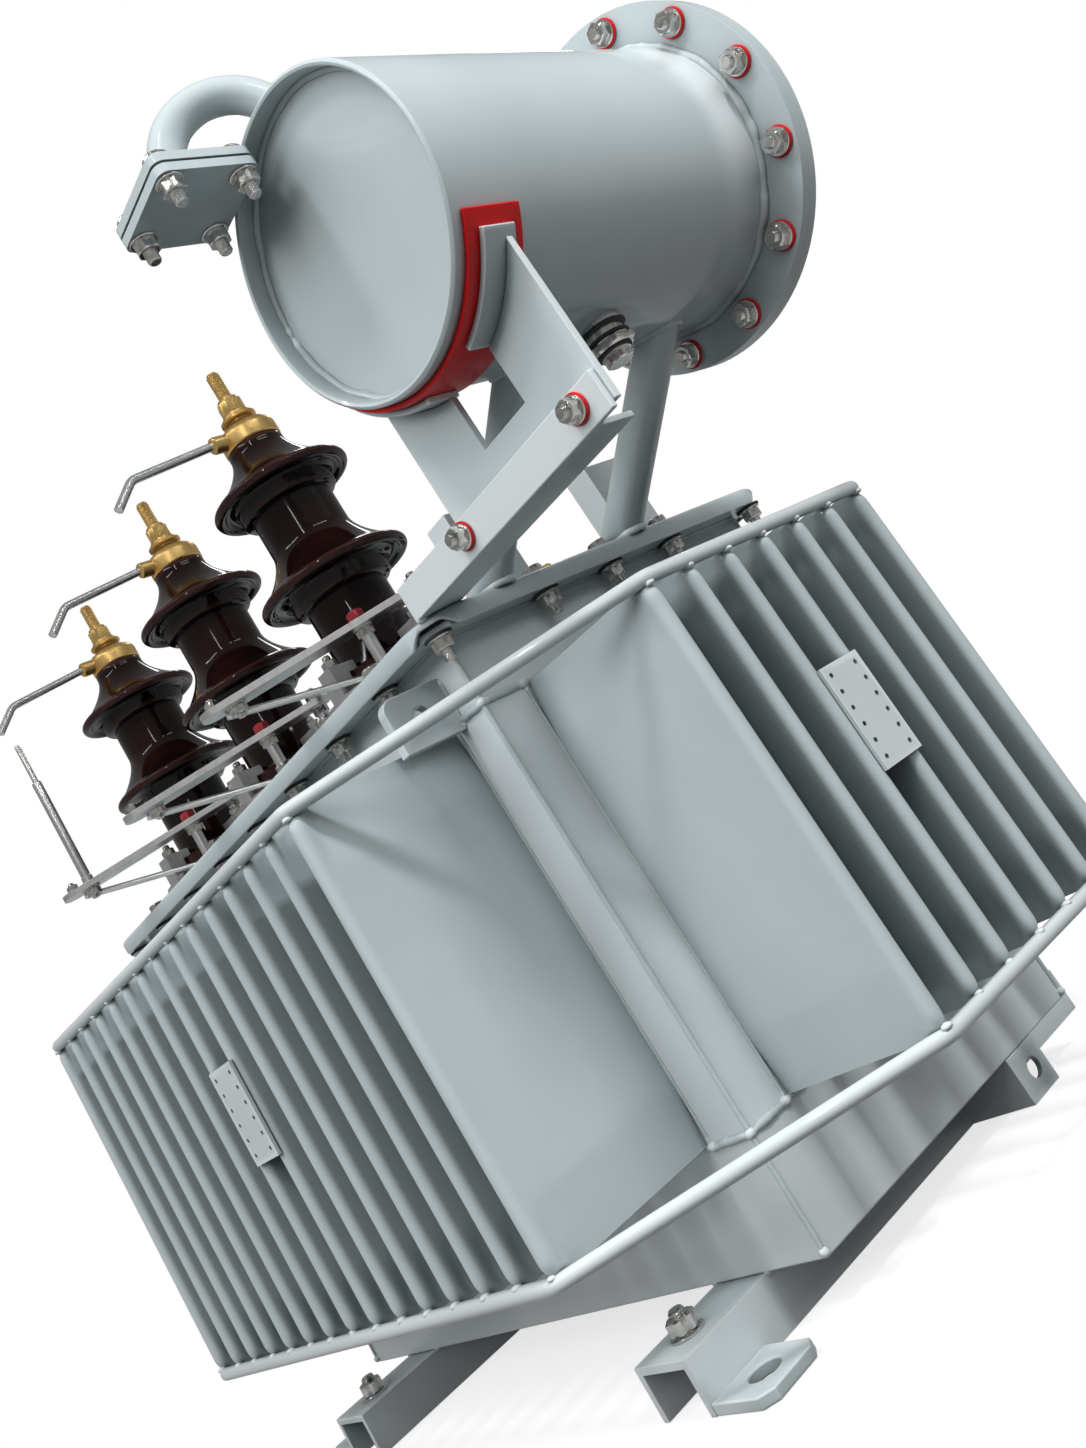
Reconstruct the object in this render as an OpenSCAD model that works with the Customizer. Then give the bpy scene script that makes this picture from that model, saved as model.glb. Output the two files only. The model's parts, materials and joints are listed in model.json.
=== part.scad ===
// Oil-filled step-down transformer: corrugated tank, bolted lid, three high-voltage bushings, conservator.
// Millimetres, +Z up. The origin is the middle of the four foot bolt holes, level with the channels' tops.
// +X is the conservator end and -Y is the high-voltage side.

/* [Base] */
// Height of the two base channels
channel_height = 40; // [30:1:80]
// Width of a base channel
channel_width = 62; // [40:1:100]
// Metal thickness of a base channel
channel_wall = 6; // [4:0.5:10]
// Length of a base channel
channel_length = 562; // [450:1:900]
// Distance of a channel's middle from the tank's end
channel_inset = 101; // [60:1:200]
// Foot bolt hole in the channel's top
foot_hole_d = 18; // [12:1:24]
// Distance of a foot bolt hole from the channel's end
foot_hole_inset = 34; // [20:1:60]
// How far a foot lug stands out
foot_lug_reach = 60; // [40:1:90]
// Length of a foot lug along the channel
foot_lug_length = 62; // [50:1:120]
// Thickness of a foot lug
foot_lug_thickness = 9; // [6:1:14]
// Cut corner of a foot lug
foot_lug_chamfer = 10; // [4:1:16]
// Diameter of a foot lug's hole
foot_lug_hole_d = 26; // [12:1:32]
// Width of the earthing bracket's face
earth_width = 44; // [30:1:60]
// Thickness of the earthing bracket
earth_thickness = 6; // [4:0.5:10]
// Place of the earthing bracket along the end wall
earth_offset = 100; // [40:5:130]
// Diameter of the earthing hole
earth_hole_d = 17; // [8:0.5:20]

/* [Tank] */
// Length of the tank's box
tank_length = 732; // [600:2:900]
// Width of the tank's box
tank_width = 372; // [300:2:500]
// Height of the plain box under the fins
base_height = 100; // [60:1:160]
// Height of the fins
fin_height = 344; // [250:2:500]
// Height of the plain collar over the fins
collar_height = 64; // [50:1:100]
// How far the top flange stands out of the tank wall
flange_overhang = 24; // [16:1:40]
// Thickness of the top flange
flange_thickness = 6; // [4:0.5:12]
// Thickness of the lid gasket
gasket_thickness = 3; // [2:0.5:6]
// How far the gasket stays inside the flange
gasket_inset = 2; // [0:0.5:6]

/* [Fins] */
// Number of fins on a long side
count_long = 15; // [9:2:19]
// Number of fins on a short side
count_short = 7; // [3:2:9]
// Distance from fin to fin
fin_pitch = 45; // [35:1:60]
// Depth of a fin
fin_depth = 164; // [80:2:220]
// Thickness of a fin
fin_thickness = 14; // [8:0.5:20]
// Thickness of a fin's pressed end
fin_pinch_thickness = 4; // [3:0.5:6]
// Height of a fin's pressed end
fin_pinch_height = 46; // [15:1:60]
// Rounding of a fin's outer corners
fin_corner_r = 6; // [3:1:30]
// Diameter of the rails that tie the fins
rail_d = 15; // [8:0.5:20]
// How far a rail bites into the fin ends
rail_bite = 2.5; // [1:0.5:5]
// How far a rail's middle lies behind the fin noses
rail_inset = 3; // [0:0.5:12]

/* [Lifting lugs] */
// Thickness of a lifting lug
lift_thickness = 10; // [6:1:16]
// How far a lifting lug stands out
lift_reach = 60; // [40:1:90]
// Height of a lifting lug
lift_height = 46; // [36:1:60]
// Distance of a lifting lug from the tank's end
lift_inset = 36; // [20:1:120]
// Gap from a lifting lug's top to the flange
lift_drop = 19; // [8:1:40]
// Diameter of a lifting eye
lift_eye_d = 17; // [12:1:26]
// Rounding of a lifting lug's outer corner
lift_corner_r = 12; // [6:1:20]

/* [Lid] */
// How far the lid stands out of the tank wall
lid_overhang = 32; // [26:1:50]
// Thickness of the lid plate
lid_thickness = 5; // [4:0.5:10]
// Height of the lid's turned-down rim
lid_rim_height = 16; // [12:0.5:30]
// Thickness of the rim
lid_rim_wall = 4; // [3:0.5:6]
// Cut corner of the lid
lid_chamfer = 24; // [18:1:40]
// Outer radius of the arch over a corner bolt
arch_r = 17; // [12:0.5:24]
// Depth of the arch over a corner bolt
arch_depth = 22; // [14:1:36]

/* [High-voltage bushings] */
// Distance between the bushings
hv_pitch = 219; // [170:1:240]
// Distance of the bushing row from the lid's middle
hv_row = 134; // [90:1:150]
// Height of the porcelain over the lid
hv_height = 258; // [200:1:320]
// Radius of the porcelain's core
hv_core_r = 38; // [28:0.5:46]
// Radius of the porcelain's foot
hv_foot_r = 48; // [40:0.5:56]
// Height of the porcelain's foot
hv_foot_h = 34; // [20:1:50]
// Radius of the lower shed
hv_lower_shed_r = 72; // [56:0.5:84]
// Height of the lower shed's lip over the lid
hv_lower_shed_z = 112; // [90:1:140]
// Radius of the upper shed
hv_upper_shed_r = 66; // [50:0.5:80]
// Height of the upper shed's lip over the lid
hv_upper_shed_z = 208; // [170:1:240]
// Radius of a shed's lip
hv_lip_r = 5; // [3:0.5:8]
// Height of a shed's slope
hv_shed_slope = 40; // [20:1:60]
// Radius of the porcelain's neck
hv_neck_r = 27; // [20:0.5:34]
// Radius of the brass cap
hv_cap_r = 27; // [20:0.5:34]
// Height of the brass cap
hv_cap_h = 26; // [16:1:40]
// Radius of the collar on the cap
hv_collar_r = 17; // [10:0.5:22]
// Height of the collar on the cap
hv_collar_h = 9; // [4:0.5:14]
// Radius of the contact nut
hv_nut_r = 12; // [8:0.5:16]
// Height of the contact nut
hv_nut_h = 17; // [8:0.5:24]
// Diameter of the stud
hv_stud_d = 13; // [8:0.5:20]
// Length of the stud over the contact nut
hv_stud_l = 29; // [15:1:60]
// Height of the side boss over the cap's foot
hv_boss_rise = 10; // [8:0.5:20]
// Radius of the side boss for the horn
hv_boss_r = 8; // [6:0.5:12]
// How far the side boss stands out of the cap
hv_boss_l = 13; // [6:0.5:20]
// Diameter of an arcing horn
horn_d = 8; // [5:0.5:12]
// Length of an arcing horn from the boss to its bend
horn_length = 88; // [50:1:120]
// Slope of an arcing horn below the level
horn_droop = 8; // [0:1:20]
// Length of the horn's bent tip
horn_tip = 34; // [15:1:60]
// Bend of the horn's tip
horn_bend = 36; // [10:1:80]
// Width of the bushing clamp ring
clamp_width = 20; // [17:0.5:24]
// Thickness of the bushing clamp ring
clamp_thickness = 8; // [5:0.5:12]
// Number of clamp jaws on a ring
jaw_count = 4; // [3:1:6]
// Width of a clamp jaw
jaw_width = 18; // [12:1:24]
// Thickness of a clamp jaw's tongue
jaw_t = 9; // [5:0.5:14]
// Gap from a jaw's leg to the porcelain
jaw_gap = 2; // [1:0.5:3]
// Width of the horn bar
bar_width = 26; // [16:1:36]
// Thickness of the horn bar
bar_thickness = 6; // [4:0.5:10]
// Length of the horn bar
bar_length = 194; // [120:1:240]
// Turn of the horn bar away from the long side
bar_turn = 52; // [20:1:80]
// Height of the horn bar over the lid
bar_rise = 47; // [44:1:70]
// How far the horn bar reaches back past the bushing
bar_back = 56; // [40:1:70]
// Diameter of the studs that carry a horn bar
bar_stud_d = 11; // [8:0.5:14]
// Height of the lower horn rod
lower_horn_h = 168; // [80:1:220]
// Distance of the lower horn rod from the bar's end
lower_horn_inset = 18; // [0:1:40]
// Diameter of the lower horn rod
lower_horn_d = 10; // [6:0.5:14]
// Diameter of the lower horn's thin tip
lower_horn_tip_d = 6; // [4:0.5:8]
// Length of the lower horn's thin tip
lower_horn_tip_l = 46; // [20:1:80]

/* [Low-voltage bushings] */
// Number of low-voltage bushings
lv_count = 4; // [3:1:4]
// Distance between the low-voltage bushings
lv_pitch = 104; // [90:1:150]
// Distance of their row from the lid's middle
lv_row = 150; // [100:1:180]
// Radius of a low-voltage bushing's body
lv_r = 22; // [16:0.5:30]
// Height of a low-voltage bushing's body
lv_h = 46; // [30:1:80]
// Radius of a low-voltage bushing's shed
lv_shed_r = 34; // [26:0.5:44]
// Thickness of a low-voltage bushing's shed
lv_shed_h = 9; // [6:0.5:14]
// Diameter of a low-voltage stud
lv_stud_d = 14; // [8:0.5:20]
// Length of a low-voltage stud
lv_stud_l = 26; // [20:1:60]
// Radius of the nut on a low-voltage stud
lv_nut_r = 14; // [9:0.5:18]
// Height of the nut on a low-voltage stud
lv_nut_h = 11; // [6:0.5:16]

/* [Conservator] */
// Radius of the conservator's shell
cons_r = 114; // [80:1:150]
// Length of the shell from its open rim to the flange
cons_length = 330; // [220:2:500]
// Place of the shell's rim before the lid's middle
cons_rim_y = 244; // [180:1:300]
// How far the shell's axis lies beyond the lid's end
cons_reach = 166; // [120:1:240]
// Height of the shell's axis over the lid
cons_axis_h = 213; // [180:1:300]
// Depth of the end disc behind the rim
cons_recess = 18; // [8:1:40]
// Thickness of the rim
cons_wall = 5; // [3:0.5:8]
// Thickness of the end disc
cons_disc_t = 4; // [3:0.5:8]
// Radius of the far flange
cons_flange_r = 149; // [110:1:180]
// Thickness of the far flange
cons_flange_t = 9; // [6:0.5:14]
// Thickness of the cover on the flange
cons_cover_t = 9; // [6:0.5:14]
// Number of the cover's bolt holes
cons_bolts = 12; // [8:1:16]
// Diameter of the cover's bolt holes
cons_bolt_d = 12; // [8:0.5:16]
// Distance of the bolt circle from the flange's edge
cons_bolt_inset = 15; // [10:0.5:24]
// Turn of the first bolt hole from the level
cons_bolt_turn = 5; // [0:1:30]

/* [Breather pipe] */
// Outer diameter of the breather pipe
breather_d = 27; // [18:0.5:40]
// Radius of the pipe's bend
breather_bend_r = 45; // [32:1:70]
// Turn of the pipe's plane from the conservator's axis
breather_turn = 31; // [0:1:60]
// Place of the pipe behind the rim
breather_inset = 33; // [20:1:80]
// Place of the pipe beside the shell's top line
breather_side = 7; // [0:1:40]
// Height of the bend's middle over the shell's axis
breather_rise = 108; // [100:1:150]
// Side of the square flanges
breather_flange = 80; // [56:1:120]
// Thickness of a square flange
breather_flange_t = 7; // [4:0.5:10]
// Length of the pipe's straight end over the flanges
breather_drop = 10; // [4:1:30]
// Gap between the two square flanges
breather_gap = 2; // [1:0.5:4]
// Distance between the bolt holes in the square flanges
breather_bolts = 58; // [36:1:90]
// Diameter of those holes
breather_hole_d = 11; // [8:0.5:14]
// Rounding of the square flanges
breather_corner_r = 8; // [3:0.5:14]

/* [Saddle and arm] */
// Length of the support arm
arm_length = 272; // [200:1:340]
// How far the arm lies on the lid
arm_bite = 16; // [10:1:60]
// Height of the arm's upright leg
arm_leg_h = 29; // [20:1:60]
// Width of the arm's flat leg
arm_leg_w = 40; // [25:1:60]
// Thickness of the arm
arm_t = 5; // [3:0.5:8]
// Distance of the arm from the lid's edge
arm_inset = 6; // [2:1:40]
// How much shorter the arm's flat leg is
arm_cut = 22; // [0:1:40]
// Width of the saddle plate
saddle_width = 184; // [120:1:220]
// Thickness of the saddle plate
saddle_t = 6; // [4:0.5:10]
// Width of the saddle plate's notch
notch_width = 54; // [30:1:90]
// Height of the notch's floor over the lid
notch_floor = 49; // [36:1:70]
// Width of the strap along the shell
strap_width = 28; // [20:1:60]
// Thickness of the strap
strap_t = 5; // [3:0.5:8]
// Width of the red pad along the shell
pad_width = 58; // [30:1:80]
// How far the red pad lies towards the rim
pad_shift = 6; // [0:0.5:12]
// Thickness of the red pad
pad_t = 4; // [2:0.5:8]
// Angle of the pad round the shell
pad_angle = 116; // [80:1:150]
// How much less the strap reaches round at each end
strap_margin = 6; // [2:0.5:12]

/* [Pipes and fittings] */
// Diameter of the oil pipe and of the strut
pipe_d = 34; // [20:0.5:48]
// Distance of a pipe's foot from the lid's end
pipe_foot_inset = 27; // [20:1:60]
// Place of the oil pipe from the lid's middle line
oil_pipe_y = 30; // [0:1:80]
// Place of the strut from the lid's middle line
strut_y = 130; // [80:1:170]
// Lean of the pipes from the level
pipe_lean = 33; // [25:1:50]
// Place of the drain union before the lid's middle line
union_y = 72; // [20:1:90]
// Place of the drain union beside the shell's bottom line
union_side = 4; // [0:1:30]
// Radius of the drain union's socket
union_r = 16; // [12:0.5:30]
// Length of the socket
union_socket_h = 18; // [12:0.5:30]
// Radius of the union's ring
union_ring_r = 19; // [15:0.5:34]
// Height of the union's ring
union_ring_h = 8; // [5:0.5:14]
// Radius of the union's plug
union_plug_r = 12; // [8:0.5:20]
// Height of the union's plug
union_plug_h = 11; // [6:0.5:20]
// Width of a lid post
post_width = 50; // [30:1:60]
// Depth of a lid post
post_depth = 30; // [20:1:50]
// Thickness of a lid post
post_t = 5; // [3:0.5:8]
// Height of a lid post
post_h = 84; // [60:1:120]
// Distance between the two lid posts
post_spacing = 172; // [120:1:200]
// Distance of a lid post from the lid's end
post_inset = 40; // [10:1:60]

/* [Fin plates] */
// Width of a fin plate
plate_width = 48; // [47:1:60]
// Height of a fin plate
plate_height = 84; // [60:1:140]
// Thickness of a fin plate
plate_t = 3; // [2:0.5:5]
// Height of a fin plate's middle over the fins' foot
plate_rise = 192; // [80:1:240]
// Diameter of the holes in a fin plate
plate_hole_d = 4; // [2:0.5:6]
// Distance of the holes from the plate's long edge
plate_hole_inset = 8; // [4:0.5:12]
// Number of holes along each long edge
plate_holes = 6; // [3:1:8]

/* [Hidden] */
fn_round = 96;
hex = 6;
overrun = 1;
seat = 0.2;
short_share = 1.04;
knuckle_share = 1.035;
half = 0.5;
quarter_turn = 90;
half_turn = 180;
full_turn = 360;

paint = [0.70, 0.74, 0.75];
porcelain = [0.20, 0.10, 0.09];
brass = [0.75, 0.56, 0.25];
steel = [0.72, 0.72, 0.70];
red = [0.85, 0.08, 0.08];
dark = [0.15, 0.15, 0.15];

floor_z = -channel_height;
tank_bottom = 0;
fin_bottom = tank_bottom + base_height;
fin_top = fin_bottom + fin_height;
flange_bottom = fin_top + collar_height;
flange_top = flange_bottom + flange_thickness;
lid_bottom = flange_top + gasket_thickness;
lid_top = lid_bottom + lid_thickness;
rim_bottom = lid_top - lid_rim_height;

lid_length = tank_length + 2 * lid_overhang;
lid_width = tank_width + 2 * lid_overhang;
lid_end = lid_length * half;
lid_side = lid_width * half;
arch_inner_r = arch_r - lid_rim_wall - lid_rim_wall * half;

nose_x = tank_length * half + fin_depth;
nose_y = tank_width * half + fin_depth;
rail_x = nose_x - rail_inset;
rail_y = nose_y - rail_inset;
long_row = (count_long - 1) * fin_pitch * half;
short_row = (count_short - 1) * fin_pitch * half;

foot_x = tank_length * half - channel_inset;
foot_y = channel_length * half - foot_hole_inset;

cap_z = lid_top + hv_height;
collar_z = cap_z + hv_cap_h;
contact_z = collar_z + hv_collar_h;
stud_z = contact_z + hv_nut_h;
boss_z = cap_z + hv_boss_rise;
shoulder_h = hv_foot_h - clamp_thickness;
bar_z = lid_top + bar_rise;

cons_x = lid_end + cons_reach;
cons_z = lid_top + cons_axis_h;
cons_far = cons_length - cons_rim_y;
arm_y = -lid_side + arm_inset;
arm_x = lid_end - arm_bite;
saddle_y = arm_y + arm_t;
pad_outer = cons_r + pad_t;
strap_outer = pad_outer + strap_t;
saddle_mid_y = saddle_y + saddle_t * half;
saddle_edge = acos(saddle_width * half / strap_outer);
bar_offset = hv_foot_r + clamp_width - bar_stud_d * half;
front_plate_x = fin_pitch * half + half * fin_thickness * half;
right_plate_y = -fin_pitch * half + half * fin_thickness * half;

function cut_box(l, w, c) = [
  [-l + c, -w], [l - c, -w], [l, -w + c], [l, w - c],
  [l - c, w], [-l + c, w], [-l, w - c], [-l, -w + c]];

function shrunk(c, t) = c - t * (2 - sqrt(2));

// Two rods that meet at a bend each stop this far from it, inside a ball of this radius.
function rod_short(d, bend) = d * half * tan(bend * half) * short_share;
function knuckle_r(d, bend) = d * half / cos(bend * half) * knuckle_share;

module at_corners(x, y) {
  for (sx = [-1, 1], sy = [-1, 1]) translate([sx * x, sy * y, 0]) children();
}

module rounded_square(side, r) {
  inner = side * half - r;
  square([side, side - 2 * r], center = true);
  square([side - 2 * r, side], center = true);
  at_corners(inner, inner) circle(r = r, $fn = fn_round);
}

module base_channel(side) {
  translate([side * foot_x, 0, floor_z]) difference() {
    translate([-channel_width * half, -channel_length * half, 0])
      cube([channel_width, channel_length, channel_height]);
    translate([-channel_width * half + channel_wall, -channel_length * half - overrun, -overrun])
      cube([channel_width - 2 * channel_wall, channel_length + 2 * overrun,
        channel_height - channel_wall + overrun]);
    for (s = [-1, 1]) translate([0, s * foot_y, 0])
      cylinder(d = foot_hole_d, h = channel_height + overrun, $fn = fn_round);
  }
}

module base_channel_left() { color(paint) base_channel(-1); }
module base_channel_right() { color(paint) base_channel(1); }

module foot_lug() {
  reach = foot_lug_reach;
  near = -foot_lug_length * half;
  far = foot_lug_length * half;
  difference() {
    linear_extrude(foot_lug_thickness) polygon([[0, near], [reach - foot_lug_chamfer, near],
      [reach, near + foot_lug_chamfer], [reach, far - foot_lug_chamfer],
      [reach - foot_lug_chamfer, far], [0, far]]);
    translate([reach * half, 0, -overrun])
      cylinder(d = foot_lug_hole_d, h = foot_lug_thickness + 2 * overrun, $fn = fn_round);
  }
}

module foot_lugs() {
  color(paint) for (s = [0, 1]) mirror([s, 0, 0])
    translate([foot_x + channel_width * half, -(channel_length - foot_lug_length) * half, floor_z])
      foot_lug();
}

module earth_bracket() {
  face = tank_length * half;
  inner = foot_x + channel_width * half;
  color(paint) translate([0, earth_offset, floor_z]) difference() {
    union() {
      translate([face - earth_thickness, -earth_width * half, 0])
        cube([earth_thickness, earth_width, channel_height]);
      translate([inner, -earth_width * half, 0]) cube([face - inner, earth_thickness, channel_height]);
    }
    translate([face - earth_thickness - overrun, earth_thickness * half, channel_height * half])
      rotate([0, quarter_turn, 0])
        cylinder(d = earth_hole_d, h = earth_thickness + 2 * overrun, $fn = fn_round);
  }
}

module tank_body() {
  color(paint) translate([-tank_length * half, -tank_width * half, tank_bottom])
    cube([tank_length, tank_width, flange_bottom - tank_bottom]);
}

// One fin standing out along +Y from the wall plane y = 0.
module fin() {
  flat = fin_depth - fin_thickness * half;
  t = fin_thickness * half;
  p = fin_pinch_thickness * half;
  round_from = fin_depth - fin_corner_r;
  intersection() {
    linear_extrude(fin_height) union() {
      translate([-t, 0]) square([fin_thickness, flat]);
      translate([0, flat]) circle(r = t, $fn = fn_round);
    }
    rotate([quarter_turn, 0, half_turn]) linear_extrude(fin_depth + overrun) polygon([[-p, 0], [p, 0],
      [t, fin_pinch_height], [t, fin_height - fin_pinch_height], [p, fin_height], [-p, fin_height],
      [-t, fin_height - fin_pinch_height], [-t, fin_pinch_height]]);
    translate([-t - overrun, 0, 0]) rotate([quarter_turn, 0, quarter_turn])
      linear_extrude(fin_thickness + 2 * overrun) union() {
        square([round_from, fin_height]);
        translate([0, fin_corner_r]) square([fin_depth, fin_height - 2 * fin_corner_r]);
        for (z = [fin_corner_r, fin_height - fin_corner_r])
          translate([round_from, z]) circle(r = fin_corner_r, $fn = fn_round);
      }
  }
}

module fin_row(count) {
  row = (count - 1) * fin_pitch * half;
  for (i = [0 : count - 1]) translate([i * fin_pitch - row, 0, 0]) fin();
}

module front_fins() {
  color(paint) translate([0, -tank_width * half, fin_bottom]) rotate(half_turn) fin_row(count_long);
}
module rear_fins() { color(paint) translate([0, tank_width * half, fin_bottom]) fin_row(count_long); }
module left_fins() {
  color(paint) translate([-tank_length * half, 0, fin_bottom]) rotate(quarter_turn) fin_row(count_short);
}
module right_fins() {
  color(paint) translate([tank_length * half, 0, fin_bottom]) rotate(-quarter_turn) fin_row(count_short);
}

// A closed round bar along the fin noses, with a welded knuckle at each bend.
module rail(z) {
  path = [[-long_row, -rail_y], [long_row, -rail_y], [rail_x, -short_row], [rail_x, short_row],
    [long_row, rail_y], [-long_row, rail_y], [-rail_x, short_row], [-rail_x, -short_row]];
  n = len(path);
  heading = [for (i = [0 : n - 1]) let (v = path[(i + 1) % n] - path[i]) atan2(v[1], v[0])];
  bend = [for (i = [0 : n - 1]) (heading[i] - heading[(i + n - 1) % n] + full_turn) % full_turn];
  short = [for (b = bend) rod_short(rail_d, b)];
  color(paint) translate([0, 0, z]) for (i = [0 : n - 1]) {
    length = norm(path[(i + 1) % n] - path[i]) - short[i] - short[(i + 1) % n];
    translate(path[i]) rotate(heading[i]) translate([short[i], 0, 0]) rotate([0, quarter_turn, 0])
      cylinder(d = rail_d, h = length, $fn = fn_round);
    translate(path[i]) rotate(heading[i] - bend[i] * half - quarter_turn)
      sphere(r = knuckle_r(rail_d, bend[i]), $fn = fn_round);
  }
}

module lower_rail() { rail(fin_bottom - rail_d * half + rail_bite); }
module upper_rail() { rail(fin_top + rail_d * half - rail_bite); }

module lifting_lug() {
  difference() {
    translate([lift_thickness * half, 0, 0]) rotate([quarter_turn, 0, -quarter_turn])
      linear_extrude(lift_thickness) union() {
        square([lift_reach - lift_corner_r, lift_height]);
        square([lift_reach, lift_height - lift_corner_r]);
        translate([lift_reach - lift_corner_r, lift_height - lift_corner_r])
          circle(r = lift_corner_r, $fn = fn_round);
      }
    translate([-lift_thickness * half - overrun, -lift_reach * half, lift_height * half])
      rotate([0, quarter_turn, 0])
        cylinder(d = lift_eye_d, h = lift_thickness + 2 * overrun, $fn = fn_round);
  }
}

module lifting_lugs() {
  x = tank_length * half - lift_inset;
  z = flange_bottom - lift_drop - lift_height;
  color(paint) for (sx = [-1, 1], s = [0, 1]) mirror([0, s, 0])
    translate([sx * x, -tank_width * half, z]) lifting_lug();
}

module tank_flange() {
  color(paint) translate([0, 0, flange_bottom]) linear_extrude(flange_thickness)
    polygon(cut_box(tank_length * half + flange_overhang, tank_width * half + flange_overhang,
      shrunk(lid_chamfer, lid_overhang - flange_overhang)));
}

module lid_gasket() {
  reach = flange_overhang - gasket_inset;
  color(dark) translate([0, 0, flange_top]) linear_extrude(gasket_thickness)
    polygon(cut_box(tank_length * half + reach, tank_width * half + reach,
      shrunk(lid_chamfer, lid_overhang - reach)));
}

module corner_arch(r, depth, out) {
  for (sx = [-1, 1], sy = [-1, 1])
    translate([sx * (lid_end - lid_chamfer * half), sy * (lid_side - lid_chamfer * half), rim_bottom])
      rotate([0, quarter_turn, atan2(sy, sx)]) translate([0, 0, -depth])
        cylinder(r = r, h = depth + out, $fn = fn_round);
}

module lid() {
  color(paint) difference() {
    union() {
      translate([0, 0, lid_bottom]) linear_extrude(lid_thickness)
        polygon(cut_box(lid_end, lid_side, lid_chamfer));
      translate([0, 0, rim_bottom]) linear_extrude(lid_rim_height) difference() {
        polygon(cut_box(lid_end, lid_side, lid_chamfer));
        polygon(cut_box(lid_end - lid_rim_wall, lid_side - lid_rim_wall, shrunk(lid_chamfer, lid_rim_wall)));
      }
      intersection() {
        corner_arch(arch_r, arch_depth, 0);
        translate([-lid_end, -lid_side, lid_bottom]) cube([lid_length, lid_width, arch_r * 2]);
      }
    }
    corner_arch(arch_inner_r, lid_rim_wall + gasket_inset, overrun);
  }
}

// Porcelain profile as radius and height, from the foot to the neck.
module hv_profile() {
  low = hv_lower_shed_z;
  high = hv_upper_shed_z;
  lip = hv_lip_r;
  steps = 10;
  under = lip * half;
  polygon(concat([[0, 0], [hv_foot_r, 0], [hv_foot_r, shoulder_h],
    [hv_core_r, shoulder_h], [hv_core_r, low + under], [hv_lower_shed_r - lip, low - lip]],
    [[hv_lower_shed_r - lip, low + lip]],
    [for (i = [1 : steps]) let (t = i / steps)
      [hv_lower_shed_r - lip - (hv_lower_shed_r - lip - hv_core_r) * t,
        low + lip + hv_shed_slope * pow(t, 2)]],
    [[hv_core_r, high + under], [hv_upper_shed_r - lip, high - lip], [hv_upper_shed_r - lip, high + lip]],
    [for (i = [1 : steps]) let (t = i / steps)
      [hv_upper_shed_r - lip - (hv_upper_shed_r - lip - hv_neck_r) * t,
        high + lip + (hv_height - high - lip) * pow(t, 2)]],
    [[0, hv_height]]));
  for (s = [[hv_lower_shed_r, low], [hv_upper_shed_r, high]])
    translate([s[0] - lip, s[1]]) circle(r = lip, $fn = fn_round);
}

module hv_bushing(i) {
  color(porcelain) translate([i * hv_pitch, -hv_row, lid_top]) rotate_extrude($fn = fn_round)
    intersection() {
      hv_profile();
      square([hv_lower_shed_r + overrun, hv_height]);
    }
}

module hv_bushing_left() { hv_bushing(-1); }
module hv_bushing_middle() { hv_bushing(0); }
module hv_bushing_right() { hv_bushing(1); }

module hv_cap(i) {
  shoulder = hv_cap_h * half;
  top = hv_cap_h + hv_collar_h;
  dome_r = hv_collar_r + hv_lip_r * half;
  color(brass) translate([i * hv_pitch, -hv_row, cap_z]) {
    rotate_extrude($fn = fn_round) polygon([[0, 0], [hv_cap_r, 0], [hv_cap_r, shoulder], [dome_r, hv_cap_h],
      [hv_collar_r, hv_cap_h], [hv_collar_r, top], [hv_nut_r, top], [hv_nut_r, top + hv_nut_h],
      [hv_stud_d * half, top + hv_nut_h], [hv_stud_d * half, top + hv_nut_h + hv_stud_l],
      [0, top + hv_nut_h + hv_stud_l]]);
    translate([0, -hv_cap_r * half, hv_boss_rise]) rotate([quarter_turn, 0, 0])
      cylinder(r = hv_boss_r, h = hv_cap_r * half + hv_boss_l, $fn = fn_round);
  }
}

module hv_cap_left() { hv_cap(-1); }
module hv_cap_middle() { hv_cap(0); }
module hv_cap_right() { hv_cap(1); }

module hv_horns() {
  start = hv_row + hv_cap_r + hv_boss_l + horn_d * half * sin(horn_droop);
  short = rod_short(horn_d, horn_bend);
  color(steel) for (i = [-1 : 1])
    translate([i * hv_pitch, -start, boss_z]) rotate([horn_droop, 0, 0]) {
      rotate([quarter_turn, 0, 0]) cylinder(d = horn_d, h = horn_length - short, $fn = fn_round);
      translate([0, -horn_length, 0]) {
        rotate([horn_bend * half, 0, 0]) rotate([0, -quarter_turn, 0])
          sphere(r = knuckle_r(horn_d, horn_bend), $fn = fn_round);
        rotate([quarter_turn + horn_bend, 0, 0]) translate([0, 0, short])
          cylinder(d = horn_d, h = horn_tip - short, $fn = fn_round);
      }
    }
}

module clamp_jaw() {
  leg = hv_foot_r + jaw_gap;
  out = hv_foot_r + clamp_width - seat;
  translate([leg, -jaw_width * half, clamp_thickness - seat])
    cube([out - leg, jaw_width, shoulder_h + jaw_t - clamp_thickness + seat]);
  translate([hv_core_r + jaw_gap, -jaw_width * half, shoulder_h])
    cube([out - hv_core_r - jaw_gap, jaw_width, jaw_t]);
}

module hv_clamps() {
  color(steel) for (i = [-1 : 1]) translate([i * hv_pitch, -hv_row, lid_top]) {
    difference() {
      cylinder(r = hv_foot_r + clamp_width, h = clamp_thickness, $fn = fn_round);
      translate([0, 0, -overrun]) cylinder(r = hv_foot_r, h = clamp_thickness + 2 * overrun, $fn = fn_round);
    }
    for (k = [0 : jaw_count - 1])
      rotate(bar_turn - quarter_turn + (k + half) * full_turn / jaw_count) clamp_jaw();
  }
}

module bar_place(i) {
  translate([i * hv_pitch, -hv_row, 0]) rotate(half_turn + bar_turn) translate([-bar_back, bar_offset, 0])
    children();
}

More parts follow.
